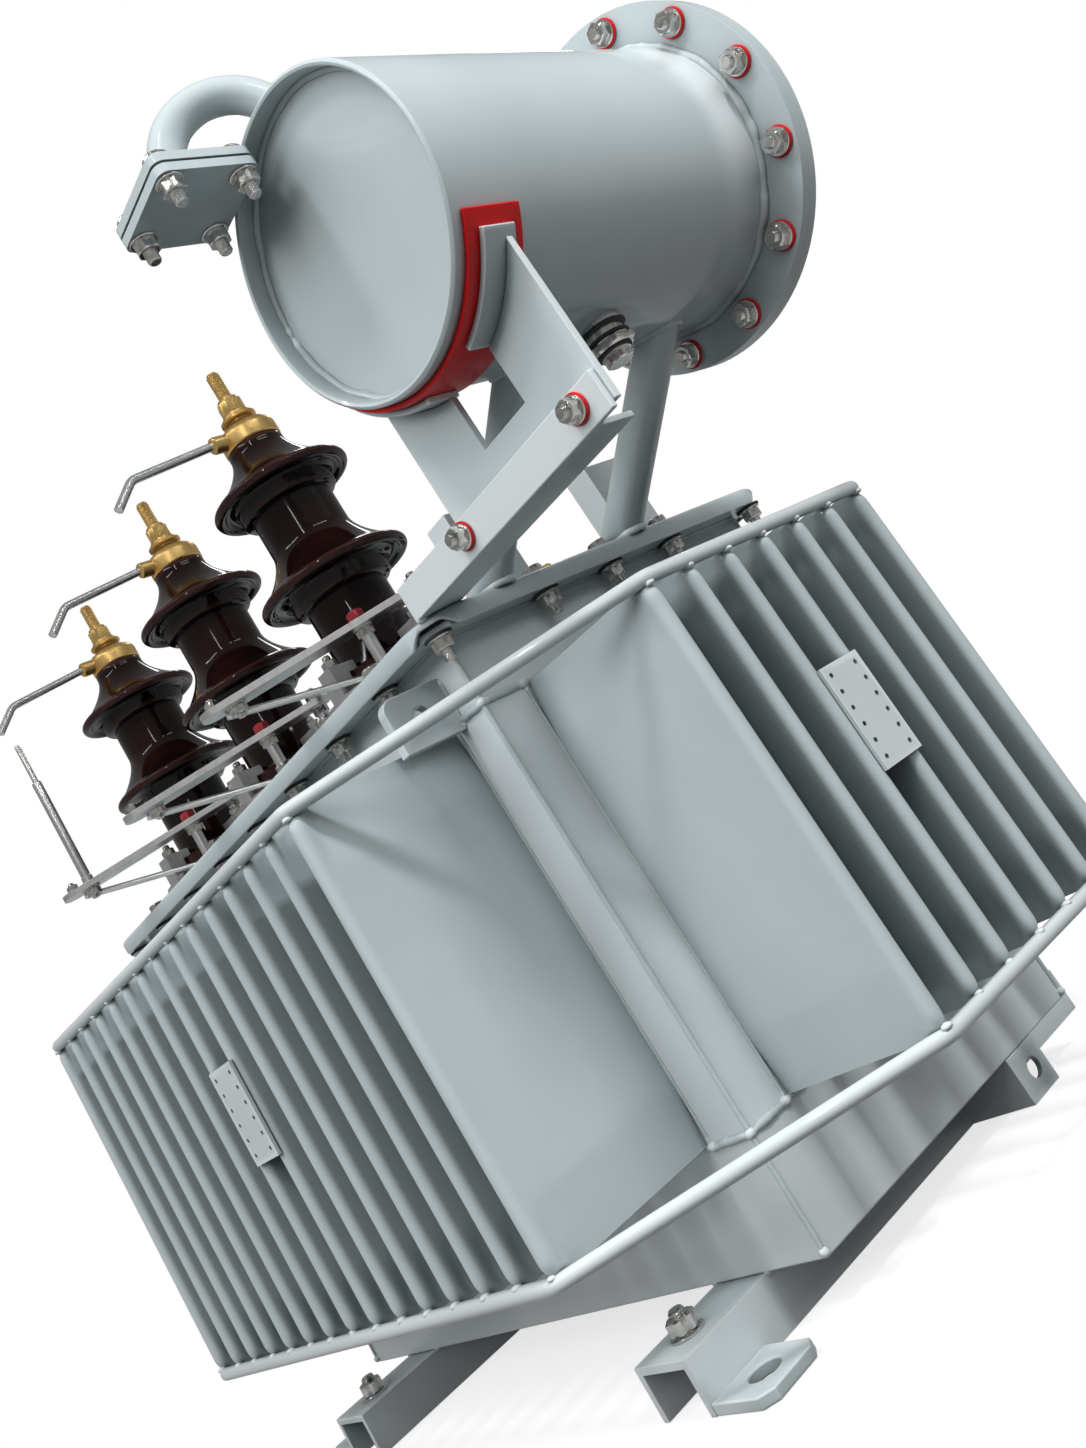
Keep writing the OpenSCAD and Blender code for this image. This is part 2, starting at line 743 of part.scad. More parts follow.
// A flat bar on two studs, the first on the lid and the second on the clamp ring.
module horn_bar() {
  translate([0, 0, bar_z]) {
    translate([0, -bar_width * half, 0]) cube([bar_length, bar_width, bar_thickness]);
    for (x = [0, bar_length])
      translate([x, 0, 0]) cylinder(d = bar_width, h = bar_thickness, $fn = fn_round);
  }
  translate([0, 0, lid_top]) cylinder(d = bar_stud_d, h = bar_rise + seat, $fn = fn_round);
  translate([bar_back, 0, lid_top + clamp_thickness])
    cylinder(d = bar_stud_d, h = bar_rise - clamp_thickness + seat, $fn = fn_round);
}

module hv_bars() { color(steel) for (i = [-1 : 1]) bar_place(i) horn_bar(); }

module lower_horn() {
  color(steel) bar_place(-1) translate([bar_length - lower_horn_inset, 0, bar_z + bar_thickness]) {
    cylinder(d = lower_horn_d, h = lower_horn_h - lower_horn_tip_l, $fn = fn_round);
    cylinder(d = lower_horn_tip_d, h = lower_horn_h, $fn = fn_round);
  }
}

module at_lv() {
  for (i = [0 : lv_count - 1])
    translate([(i - (lv_count - 1) * half) * lv_pitch, lv_row, lid_top]) children();
}

module lv_bushings() {
  color(porcelain) at_lv() {
    cylinder(r = lv_r, h = lv_h, $fn = fn_round);
    translate([0, 0, (lv_h - lv_shed_h) * half]) cylinder(r = lv_shed_r, h = lv_shed_h, $fn = fn_round);
  }
}

module lv_terminals() {
  color(brass) at_lv() translate([0, 0, lv_h]) {
    cylinder(r = lv_nut_r, h = lv_nut_h, $fn = hex);
    cylinder(d = lv_stud_d, h = lv_stud_l, $fn = fn_round);
  }
}

module along_cons(y) { translate([cons_x, y, cons_z]) rotate([-quarter_turn, 0, 0]) children(); }

module conservator_shell() {
  color(paint) difference() {
    along_cons(-cons_rim_y) cylinder(r = cons_r, h = cons_length, $fn = fn_round);
    along_cons(-cons_rim_y - overrun)
      cylinder(r = cons_r - cons_wall, h = cons_recess + cons_disc_t + overrun, $fn = fn_round);
  }
}

module conservator_end() {
  color(paint) along_cons(-cons_rim_y + cons_recess)
    cylinder(r = cons_r - cons_wall, h = cons_disc_t, $fn = fn_round);
}

module cover_plate(y, t) {
  color(paint) along_cons(y) difference() {
    cylinder(r = cons_flange_r, h = t, $fn = fn_round);
    for (i = [0 : cons_bolts - 1]) rotate(i * full_turn / cons_bolts - cons_bolt_turn)
      translate([cons_flange_r - cons_bolt_inset, 0, -overrun])
        cylinder(d = cons_bolt_d, h = t + 2 * overrun, $fn = fn_round);
  }
}

module conservator_flange() { cover_plate(cons_far, cons_flange_t); }
module conservator_cover() { cover_plate(cons_far + cons_flange_t, cons_cover_t); }

module at_breather() {
  translate([cons_x - breather_side, -cons_rim_y + breather_inset, cons_z + breather_rise])
    rotate(-breather_turn) children();
}

module breather_pipe() {
  color(paint) difference() {
    at_breather() {
      translate([0, -breather_bend_r, 0]) rotate([quarter_turn, 0, quarter_turn])
        rotate_extrude(angle = half_turn, $fn = fn_round) translate([breather_bend_r, 0])
          circle(d = breather_d, $fn = fn_round);
      translate([0, -2 * breather_bend_r, -breather_drop])
        cylinder(d = breather_d, h = breather_drop, $fn = fn_round);
    }
    along_cons(-cons_rim_y) cylinder(r = cons_r, h = cons_length, $fn = fn_round);
  }
}

module square_flange(z) {
  translate([0, 0, z]) linear_extrude(breather_flange_t) difference() {
    rounded_square(breather_flange, breather_corner_r);
    at_corners(breather_bolts * half, breather_bolts * half) circle(d = breather_hole_d, $fn = fn_round);
  }
}

module breather_flanges() {
  top = -breather_drop - breather_flange_t;
  color(paint) at_breather() translate([0, -2 * breather_bend_r, 0]) rotate(breather_turn) {
    square_flange(top);
    square_flange(top - breather_gap - breather_flange_t);
    translate([0, 0, top - breather_gap]) cylinder(d = breather_d, h = breather_gap, $fn = fn_round);
  }
}

module support_arm() {
  color(paint) translate([arm_x, arm_y, lid_top]) {
    cube([arm_length, arm_t, arm_leg_h]);
    cube([arm_length - arm_cut, arm_leg_w, arm_t]);
  }
}

module saddle_plate() {
  left = -saddle_width * half;
  foot = lid_top + arm_t - cons_z;
  color(paint) translate([cons_x, saddle_y + saddle_t, cons_z]) rotate([quarter_turn, 0, 0])
    linear_extrude(saddle_t) difference() {
      translate([left, foot]) square([saddle_width, -foot - strap_outer * sin(saddle_edge)]);
      circle(r = strap_outer, $fn = fn_round);
      translate([-notch_width * half, notch_floor + lid_top - cons_z]) square([notch_width, cons_axis_h]);
    }
}

module saddle_arc(y, from, angle, inner, t, w) {
  translate([cons_x, y, cons_z]) rotate([quarter_turn, 0, 0]) rotate(from)
    rotate_extrude(angle = angle, $fn = fn_round) translate([inner, -w * half]) square([t, w]);
}

module saddle_straps() {
  reach = pad_angle * half - strap_margin;
  middle = asin(notch_width * half / pad_outer);
  color(paint) for (s = [0, 1]) translate([cons_x, 0, 0]) mirror([s, 0, 0]) translate([-cons_x, 0, 0])
    saddle_arc(saddle_mid_y, middle - quarter_turn, reach - middle, pad_outer, strap_t, strap_width);
}

module saddle_pad() {
  color(red) saddle_arc(saddle_mid_y - pad_shift, -quarter_turn - pad_angle * half, pad_angle, cons_r,
    pad_t, pad_width);
}

module leaning_pipe(y) {
  foot_x1 = lid_end - pipe_foot_inset;
  reach = cons_x - foot_x1;
  difference() {
    translate([foot_x1, y, lid_top]) rotate([0, quarter_turn - pipe_lean, 0]) translate([0, 0, -pipe_d])
      cylinder(d = pipe_d, h = reach + 2 * pipe_d, $fn = fn_round);
    along_cons(y - pipe_d) cylinder(r = cons_r, h = 2 * pipe_d, $fn = fn_round);
    translate([foot_x1 - 2 * pipe_d, y - pipe_d, lid_top - 2 * pipe_d])
      cube([pipe_d * 4, 2 * pipe_d, 2 * pipe_d]);
    translate([cons_x - cons_r * half, y - pipe_d, cons_z - cons_r * half])
      cube([2 * cons_r, 2 * pipe_d, 2 * cons_r]);
  }
}

module oil_pipe() { color(paint) leaning_pipe(oil_pipe_y); }
module strut_pipe() { color(paint) leaning_pipe(-strut_y); }

module drain_union() {
  shell_bottom = cons_z - cons_r;
  color(steel) translate([cons_x + union_side, -union_y, 0]) difference() {
    union() {
      translate([0, 0, shell_bottom - union_socket_h + union_ring_h])
        cylinder(r = union_r, h = union_socket_h, $fn = fn_round);
      translate([0, 0, shell_bottom - union_socket_h])
        cylinder(r = union_ring_r, h = union_ring_h, $fn = fn_round);
      translate([0, 0, shell_bottom - union_socket_h - union_plug_h])
        cylinder(r = union_plug_r, h = union_plug_h, $fn = hex);
    }
    translate([-cons_x - union_side, union_y, 0]) along_cons(-cons_rim_y)
      cylinder(r = cons_r, h = cons_length, $fn = fn_round);
  }
}

module lid_posts() {
  color(paint) for (s = [-1, 1]) translate([lid_end - post_inset, s * post_spacing * half, lid_top]) {
    translate([-post_depth, -post_width * half, 0]) cube([post_depth, post_t, post_h]);
    translate([-post_t, -post_width * half, 0]) cube([post_t, post_width, post_h]);
  }
}

module fin_plate() {
  translate([0, 0, -plate_height * half]) difference() {
    translate([-plate_width * half, 0, 0]) cube([plate_width, plate_t, plate_height]);
    for (s = [-1, 1], i = [0 : plate_holes - 1])
      translate([s * (plate_width * half - plate_hole_inset), -overrun,
          plate_hole_inset + i * (plate_height - 2 * plate_hole_inset) / (plate_holes - 1)])
        rotate([-quarter_turn, 0, 0]) cylinder(d = plate_hole_d, h = plate_t + 2 * overrun, $fn = fn_round);
  }
}

module front_plate() {
  color(paint) translate([front_plate_x, -nose_y - seat, fin_bottom + plate_rise])
    mirror([0, 1, 0]) fin_plate();
}
module right_plate() {
  color(paint) translate([nose_x + seat, right_plate_y, fin_bottom + plate_rise])
    rotate(-quarter_turn) fin_plate();
}

base_channel_left();
base_channel_right();
foot_lugs();
earth_bracket();
tank_body();
front_fins();
rear_fins();
left_fins();
right_fins();
lower_rail();
upper_rail();
lifting_lugs();
tank_flange();
lid_gasket();
lid();
hv_bushing_left();
hv_bushing_middle();
hv_bushing_right();
hv_cap_left();
hv_cap_middle();
hv_cap_right();
hv_horns();
hv_clamps();
hv_bars();
lower_horn();
lv_bushings();
lv_terminals();
conservator_shell();
conservator_end();
conservator_flange();
conservator_cover();
breather_pipe();
breather_flanges();
support_arm();
saddle_plate();
saddle_straps();
saddle_pad();
oil_pipe();
strut_pipe();
drain_union();
lid_posts();
front_plate();
right_plate();
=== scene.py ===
"""Looks of an oil-filled step-down transformer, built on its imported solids.

Lengths here are millimetres, unless a line says metres.
"""

import json
import math
import random

import bmesh
import bpy
from mathutils import Matrix, Vector, noise


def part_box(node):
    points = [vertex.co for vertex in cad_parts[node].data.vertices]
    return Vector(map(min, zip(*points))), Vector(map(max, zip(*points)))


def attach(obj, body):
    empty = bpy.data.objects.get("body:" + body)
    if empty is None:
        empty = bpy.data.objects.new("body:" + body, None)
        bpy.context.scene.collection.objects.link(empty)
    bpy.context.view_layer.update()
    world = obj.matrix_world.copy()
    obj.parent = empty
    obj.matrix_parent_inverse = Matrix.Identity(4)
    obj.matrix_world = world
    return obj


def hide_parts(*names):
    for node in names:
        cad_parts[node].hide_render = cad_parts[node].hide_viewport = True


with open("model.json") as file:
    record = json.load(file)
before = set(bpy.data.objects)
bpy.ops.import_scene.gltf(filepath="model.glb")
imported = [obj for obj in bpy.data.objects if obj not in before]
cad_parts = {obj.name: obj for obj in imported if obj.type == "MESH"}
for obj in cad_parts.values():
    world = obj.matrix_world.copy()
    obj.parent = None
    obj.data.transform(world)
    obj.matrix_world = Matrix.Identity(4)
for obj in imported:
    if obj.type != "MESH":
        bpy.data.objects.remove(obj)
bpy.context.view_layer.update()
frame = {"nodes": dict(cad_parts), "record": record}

MM = 0.001
QUARTER = math.pi / 2
FULL = 2 * math.pi
mounts = {m["name"]: m for m in frame["record"]["mounts"]}


def node_box(name):
    low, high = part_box(name)
    return low / MM, high / MM


def node_middle(name):
    low, high = node_box(name)
    return (low + high) / 2


# Places that the solids set
TANK_LOW, TANK_HIGH = node_box("tank_body")
TANK_X, TANK_Y, TANK_BOTTOM = TANK_HIGH.x, TANK_HIGH.y, TANK_LOW.z
FIN_LOW, FIN_HIGH = node_box("front_fins")
FLANGE_BOTTOM = node_box("tank_flange")[0].z
LID_HIGH = node_box("lid")[1]
LID_TOP = node_box("hv_bushing_left")[0].z
FLOOR = node_box("base_channel_left")[0].z
CHANNEL_X = node_middle("base_channel_right").x
DRUM_LOW, DRUM_HIGH = node_box("conservator_shell")
DRUM = node_middle("conservator_shell")
DRUM_R = (DRUM_HIGH.x - DRUM_LOW.x) / 2
CAP_Z = node_box("hv_cap_left")[0].z
HV_NAMES = ("left", "middle", "right")
HV_PLACES = [node_middle("hv_bushing_" + n) for n in HV_NAMES]
HV_Y = HV_PLACES[0].y

# Sizes shared with the solids
FIN_PITCH, FIN_HALF = 45.0, 7.0
FIN_DEPTH = -FIN_LOW.y - TANK_Y
LONG_FINS, SHORT_FINS = 15, 7
LONG_ROW, SHORT_ROW = (LONG_FINS - 1) * FIN_PITCH / 2, (SHORT_FINS - 1) * FIN_PITCH / 2
PLATE, RIM_HEIGHT, RIM_WALL = 5.0, 16.0, 4.0
BOSS_Z = CAP_Z + 10
HORN_LENGTH, HORN_TIP, HORN_DROOP, HORN_BEND = 88.0, 34.0, math.radians(8), math.radians(36)
BAR_LENGTH, BAR_BACK, BAR_OFFSET, BAR_TURN = 194.0, 56.0, 62.5, math.radians(232)
BAR_LOW, BAR_TOP = LID_TOP + 47, LID_TOP + 53
COVER_TURN = math.radians(5)
PIPE_R, PIPE_LEAN = 17.0, math.radians(33)

# Fin ends that reach behind the rails, and rails a little thinner than their solids
FIN_REACH = 4.0
FIN_BOTTOM, FIN_TOP = FIN_LOW.z - FIN_REACH, FIN_HIGH.z + FIN_REACH
RAIL_R, RAIL_INSET, RAIL_BEND = 5.8, 3.0, 16.0
RAIL_X, RAIL_Y = TANK_X + FIN_DEPTH - RAIL_INSET, TANK_Y + FIN_DEPTH - RAIL_INSET
RAIL_HEIGHTS = [node_middle(n).z for n in ("lower_rail", "upper_rail")]


# Mesh helpers

def placed(origin, axis=(0, 0, 1), turn=0.0):
    """A frame whose Z runs along axis from origin, with X turned about it."""
    z = Vector(axis).normalized()
    hint = Vector((0, 0, 1)) if abs(z.z) < 0.9 else Vector((0, 1, 0))
    x = hint.cross(z).normalized()
    basis = Matrix((x, z.cross(x), z)).transposed().to_4x4()
    return Matrix.Translation(Vector(origin)) @ basis @ Matrix.Rotation(turn, 4, "Z")


def lifted(place, height):
    return place @ Matrix.Translation((0, 0, height))


def ring_of(bm, points):
    return [bm.verts.new(Vector(p) * MM) for p in points]


def skin(bm, rings, closed=True, loop=False):
    """Quads between each ring and the next."""
    count = len(rings[0])
    pairs = list(zip(rings, rings[1:]))
    if loop:
        pairs.append((rings[-1], rings[0]))
    for low, high in pairs:
        for i in range(count if closed else count - 1):
            j = (i + 1) % count
            bm.faces.new((low[i], low[j], high[j], high[i]))


def capped(bm, rings):
    bm.faces.new(list(reversed(rings[0])))
    bm.faces.new(rings[-1])


def circle_points(place, radius, z, sides, flat=None):
    """Points round a circle; flat trims them to a hexagon of that half width."""
    points = []
    for i in range(sides):
        a = FULL * i / sides
        r = radius
        if flat:
            r = min(r, flat / math.cos((a + math.pi / 6) % (math.pi / 3) - math.pi / 6))
        points.append(place @ Vector((r * math.cos(a), r * math.sin(a), z)))
    return points


def turned(bm, profile, place=Matrix(), sides=64, flat=None):
    """A solid turned from radius and height pairs."""
    rings = [ring_of(bm, circle_points(place, r, z, sides, flat)) for r, z in profile]
    skin(bm, rings)
    capped(bm, rings)


def turned_ring(bm, profile, place=Matrix(), sides=96):
    """A ring turned from a closed loop of radius and height pairs."""
    skin(bm, [ring_of(bm, circle_points(place, r, z, sides)) for r, z in profile], loop=True)


def path_frames(points, closed=False):
    """Each point with the path's direction and a steady pair of side directions."""
    pts = [Vector(p) for p in points]
    n = len(pts)
    frames = []
    side = None
    for i, p in enumerate(pts):
        before = pts[i - 1] if (i or closed) else p
        after = pts[(i + 1) % n] if (i < n - 1 or closed) else p
        t = (after - before).normalized()
        if side is None:
            side = t.cross(Vector((0, 0, 1)) if abs(t.z) < 0.9 else Vector((1, 0, 0))).normalized()
        else:
            side = (side - t * side.dot(t)).normalized()
        frames.append((p, t, side, t.cross(side)))
    return frames


def tube(bm, points, radius, sides=24, closed=False, soft_end=True):
    """A round bar along points; radius may be a list."""
    frames = path_frames(points, closed)
    radii = radius if isinstance(radius, list) else [radius] * len(frames)
    stations = [(p, s, u, r) for (p, t, s, u), r in zip(frames, radii)]
    if soft_end and not closed:
        for at, sign in ((0, -1), (-1, 1)):
            p, t, s, u = frames[at]
            r = radii[at]
            extra = [(p + t * (sign * r * 0.12 * k), s, u, r * (1 - 0.2 * k)) for k in (0.4, 1.0)]
            stations = extra[::-1] + stations if sign < 0 else stations + extra
    angles = [FULL * k / sides for k in range(sides)]
    rings = []
    for p, s, u, r in stations:
        rings.append(ring_of(bm, [p + s * (r * math.cos(a)) + u * (r * math.sin(a)) for a in angles]))
    skin(bm, rings, loop=closed)
    if not closed:
        capped(bm, rings)


def bent(points, radius, steps=8, closed=False):
    """The polyline with each corner rounded off."""
    pts = [Vector(p) for p in points]
    n = len(pts)
    out = []
    for i, p in enumerate(pts):
        if not closed and i in (0, n - 1):
            out.append(p)
            continue
        a = (pts[i - 1] - p).normalized()
        b = (pts[(i + 1) % n] - p).normalized()
        half = a.angle(b) / 2
        reach = radius / math.tan(half)
        middle = p + (a + b).normalized() * (radius / math.sin(half))
        start, end = p + a * reach - middle, p + b * reach - middle
        out += [middle + start.slerp(end, k / steps) * radius for k in range(steps + 1)]
    return out


def along(points, step):
    """The polyline cut into equal short steps."""
    pts = [Vector(p) for p in points]
    out = [pts[0]]
    for a, b in zip(pts, pts[1:]):
        count = max(1, round((b - a).length / step))
        out += [a.lerp(b, k / count) for k in range(1, count + 1)]
    return out


def wander(i, seed):
    """A small smooth random direction that changes along a run."""
    return Vector([noise.noise(Vector((i * 0.3, seed, k))) for k in (7.0, 11.0, 15.0)])


def weld(bm, points, radius, seed=0.0, step=3.0, sway=0.22):
    """A run of weld metal with ripples and uneven width."""
    line = along(points, step)
    last = len(line) - 1
    radii = []
    for i in range(len(line)):
        slow = noise.noise(Vector((i * 0.21, seed * 3.7, 0.5)))
        ripple = noise.noise(Vector((i * 0.9, seed, 2.0)))
        radii.append(radius * (1 + sway * (1.3 * slow + 0.8 * ripple)) * (0.6 if i in (0, last) else 1.0))
    tube(bm, [p + wander(i, seed) * radius * sway for i, p in enumerate(line)], radii, sides=10)


def blob(bm, centre, radius, seed, squash=0.75):
    """An uneven drop of weld metal."""
    made = bmesh.ops.create_icosphere(bm, subdivisions=2, radius=radius * MM)
    for v in made["verts"]:
        v.co *= 1 + 0.2 * noise.noise(v.co * 400 + Vector((seed, seed * 0.7, 0)))
        v.co.z *= squash
        v.co += Vector(centre) * MM


def thread(bm, place, radius, length, pitch=2.0, sides=20):
    """A screw thread standing on place, with a tapered end."""
    steps = max(8, int(length / pitch * 6))
    rings = []
    for k in range(steps + 1):
        z = length * k / steps
        taper = min(1.0, 0.8 + (length - z) / pitch * 0.2)
        points = []
        for i in range(sides):
            depth = abs((z / pitch - i / sides) % 1.0 - 0.5) * 2
            r = radius * taper - pitch * 0.3 * depth
            a = FULL * i / sides
            points.append(place @ Vector((r * math.cos(a), r * math.sin(a), z)))
        rings.append(ring_of(bm, points))
    skin(bm, rings)
    capped(bm, rings)


def nut(bm, place, flats, height):
    """A hexagon with both faces chamfered."""
    a = flats / 2
    corner = a / math.cos(math.pi / 6)
    c = (corner - a) * 0.6
    profile = [(a * 0.55, 0), (a * 0.97, 0), (corner, c), (corner, height - c), (a * 0.97, height),
               (a * 0.55, height)]
    turned(bm, profile, place, 48, a)


def head(bm, place, flats, height):
    """A hexagon bolt head with a slightly domed top."""
    a = flats / 2
    corner = a / math.cos(math.pi / 6)
    profile = [(a * 0.9, 0), (corner, 0.6), (corner, height - 1.6), (a * 0.97, height - 0.4),
               (a * 0.7, height), (a * 0.2, height)]
    turned(bm, profile, place, 48, a)


def washer(bm, place, outer, thick):
    e = min(0.5, thick * 0.25)
    turned(bm, [(outer - e, 0), (outer, e), (outer, thick - e), (outer - e, thick)], place, 40)


def new_kit():
    """Fasteners gathered by their finish."""
    return {finish: bmesh.new() for finish in ("zinc", "red", "maroon", "dark")}


def nut_stack(kit, place, d, under=None, stub=4.0):
    """A washer of the named finish, a zinc washer, a nut and the bolt's end, standing on place."""
    z = 0.0
    if under:
        washer(kit[under], place, d * 1.1, 2.2)
        z = 2.2
    washer(kit["zinc"], lifted(place, z), d, d * 0.16)
    z += d * 0.16
    nut(kit["zinc"], lifted(place, z) @ Matrix.Rotation(0.4, 4, "Z"), d * 1.5, d * 0.8)
    thread(kit["zinc"], lifted(place, z + d * 0.8 - 0.5), d * 0.48, stub + 0.5, max(1.2, d * 0.13))


def bolt_head(kit, place, d):
    washer(kit["zinc"], place, d, d * 0.16)
    head(kit["zinc"], lifted(place, d * 0.16), d * 1.5, d * 0.65)


# Pieces

def flats_first(mesh):
    """Shading that follows the large faces, so that a rounded edge doesn't tint the flat beside it."""
    sums = [Vector() for v in mesh.vertices]
    for face in mesh.polygons:
        share = (face.area / MM ** 2) ** 2
        for v in face.vertices:
            sums[v] += face.normal * share
    mesh.normals_split_custom_set_from_vertices([n.normalized() for n in sums])


def piece(name, bm, material, stands_for=(), sharp=32, even=False):
    """A finished mesh that rides on the transformer."""
    mesh = bpy.data.meshes.new(name)
    bmesh.ops.remove_doubles(bm, verts=bm.verts, dist=1e-6)
    bmesh.ops.recalc_face_normals(bm, faces=bm.faces)
    limit = math.radians(sharp)
    for f in bm.faces:
        f.smooth = True
    for e in bm.edges:
        if len(e.link_faces) == 2:
            e.smooth = e.calc_face_angle(0.0) < limit
    bm.to_mesh(mesh)
    bm.free()
    if even:
        flats_first(mesh)
    mesh.materials.append(material)
    obj = bpy.data.objects.new(name, mesh)
    bpy.context.scene.collection.objects.link(obj)
    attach(obj, "root")
    if stands_for:
        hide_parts(*stands_for)


def finish_kit(name, kit):
    finishes = (("zinc", ZINC, "steel"), ("red", RED_PAINT, "red_pad"), ("maroon", MAROON, "red_pad"),
                ("dark", GASKET, "gasket"))
    for finish, material, slot_name in finishes:
        if kit[finish].verts:
            piece(name + "_" + finish, kit[finish], material, sharp=28)


def softened(node, width=1.2, material=None, trim_y=0.0, shift_y=0.0):
    """The node's own shape with its sharp edges rounded off.

    Its two Y faces may be trimmed back by trim_y each, or moved by shift_y.
    """
    sharp_from = math.radians(30)
    nearly_flat = math.radians(0.6)
    bm = bmesh.new()
    bm.from_mesh(frame["nodes"][node].data)
    low, high = node_box(node)
    share = 1 - 2 * trim_y / (high.y - low.y)
    middle = (low.y + high.y) / 2 * MM
    for v in bm.verts:
        v.co.y = middle + (v.co.y - middle) * share + shift_y * MM
    bmesh.ops.remove_doubles(bm, verts=bm.verts, dist=2e-6)
    bmesh.ops.dissolve_limit(bm, angle_limit=nearly_flat, verts=bm.verts, edges=bm.edges)
    sharp = [e for e in bm.edges if len(e.link_faces) == 2 and e.calc_face_angle(0.0) > sharp_from]
    bmesh.ops.bevel(bm, geom=sharp, offset=width * MM, offset_type="OFFSET", segments=2, profile=0.5,
                    affect="EDGES", clamp_overlap=True)
    piece(node + "_finished", bm, material or PAINT, (node,), 180, True)


# Shader groups and materials

def group(name, inputs, outputs):
    tree = bpy.data.node_groups.new(name, "ShaderNodeTree")
    for label, value in inputs:
        socket = tree.interface.new_socket(label, in_out="INPUT", socket_type="NodeSocketFloat")
        socket.default_value = value
    for label in outputs:
        tree.interface.new_socket(label, in_out="OUTPUT", socket_type="NodeSocketFloat")
    return tree, tree.nodes.new("NodeGroupInput"), tree.nodes.new("NodeGroupOutput")


def link(tree, a, b):
    tree.links.new(a, b)


def noise_node(tree, where, scale, detail=3.0, rough=0.55):
    n = tree.nodes.new("ShaderNodeTexNoise")
    n.inputs["Scale"].default_value = scale
    n.inputs["Detail"].default_value = detail
    n.inputs["Roughness"].default_value = rough
    link(tree, where, n.inputs["Vector"])
    return n


def ramp(tree, value, low, high, out_low=0.0, out_high=1.0):
    m = tree.nodes.new("ShaderNodeMapRange")
    m.interpolation_type = "SMOOTHSTEP"
    for key, v in (("From Min", low), ("From Max", high), ("To Min", out_low), ("To Max", out_high)):
        m.inputs[key].default_value = v
    link(tree, value, m.inputs["Value"])
    return m.outputs["Result"]


def maths(tree, operation, a, b):
    m = tree.nodes.new("ShaderNodeMath")
    m.operation = operation
    for socket, v in zip(m.inputs, (a, b)):
        if isinstance(v, (int, float)):
            socket.default_value = v
        else:
            link(tree, v, socket)
    return m.outputs[0]


def blend_colour(tree, share, a, b):
    m = tree.nodes.new("ShaderNodeMix")
    m.data_type = "RGBA"
    link(tree, share, m.inputs["Factor"])
    for socket, v in ((m.inputs["A"], a), (m.inputs["B"], b)):
        if isinstance(v, tuple):
            socket.default_value = (*v, 1.0)
        else:
            link(tree, v, socket)
    return m.outputs["Result"]


def object_place(tree):
    return tree.nodes.new("ShaderNodeTexCoord").outputs["Object"]


def unevenness_group():
    """Slow cloudy change, fine speckle and the waviness of a sprayed or fired skin."""
    sizes = [("Cloud Size", 5.0), ("Fine Size", 180.0)]
    tree, i, o = group("Skin unevenness", sizes, ["Cloud", "Fine", "Waviness"])
    where = object_place(tree)
    cloud = noise_node(tree, where, 5.0, 4.0, 0.6)
    link(tree, i.outputs["Cloud Size"], cloud.inputs["Scale"])
    fine = noise_node(tree, where, 180.0, 2.0, 0.5)
    link(tree, i.outputs["Fine Size"], fine.inputs["Scale"])
    wave = noise_node(tree, where, 60.0, 1.0, 0.4)
    link(tree, maths(tree, "MULTIPLY", i.outputs["Fine Size"], 0.4), wave.inputs["Scale"])
    for label, source in (("Cloud", cloud), ("Fine", fine), ("Waviness", wave)):
        link(tree, source.outputs["Fac"], o.inputs[label])
    return tree


def corner_group():
    """How far a point lies on an outer edge or in a corner of its mesh."""
    tree, i, o = group("Edges and corners", [("Spread", 0.08)], ["Edge", "Corner"])
    point = tree.nodes.new("ShaderNodeNewGeometry").outputs["Pointiness"]
    for label, operation in (("Edge", "ADD"), ("Corner", "SUBTRACT")):
        part = tree.nodes.new("ShaderNodeMapRange")
        part.inputs["From Min"].default_value = 0.5
        link(tree, maths(tree, operation, 0.5, i.outputs["Spread"]), part.inputs["From Max"])
        link(tree, point, part.inputs["Value"])
        link(tree, part.outputs["Result"], o.inputs[label])
    return tree


def dust_group():
    """Dust that lies on faces turned up, broken by noise."""
    tree, i, o = group("Settled dust", [("Amount", 0.3)], ["Dust"])
    parts = tree.nodes.new("ShaderNodeSeparateXYZ")
    link(tree, tree.nodes.new("ShaderNodeNewGeometry").outputs["Normal"], parts.inputs["Vector"])
    up = ramp(tree, parts.outputs["Z"], 0.55, 1.0)
    broken = ramp(tree, noise_node(tree, object_place(tree), 14.0, 5.0, 0.65).outputs["Fac"], 0.35, 0.75)
    settled = maths(tree, "MULTIPLY", up, broken)
    link(tree, maths(tree, "MULTIPLY", settled, i.outputs["Amount"]), o.inputs["Dust"])
    return tree


def shade_group():
    """How open a point lies, where faces stand close together."""
    tree, i, o = group("Close shade", [("Reach", 0.05)], ["Open"])
    near = tree.nodes.new("ShaderNodeAmbientOcclusion")
    near.samples = 6
    link(tree, i.outputs["Reach"], near.inputs["Distance"])
    link(tree, near.outputs["AO"], o.inputs["Open"])
    return tree


def line_group():
    """Fine lines left by a die, a file or a wrench."""
    tree, i, o = group("Tool lines", [("Closeness", 30.0)], ["Lines"])
    stretch = tree.nodes.new("ShaderNodeMapping")
    stretch.inputs["Rotation"].default_value = (0.4, 0.3, 0.7)
    stretch.inputs["Scale"].default_value = (1.0, 8.0, 2.0)
    link(tree, object_place(tree), stretch.inputs["Vector"])
    lines = noise_node(tree, stretch.outputs["Vector"], 30.0, 2.0, 0.6)
    link(tree, i.outputs["Closeness"], lines.inputs["Scale"])
    link(tree, lines.outputs["Fac"], o.inputs["Lines"])
    return tree


UNEVEN = unevenness_group()
CORNERS = corner_group()
DUST = dust_group()
SHADE = shade_group()
LINES = line_group()


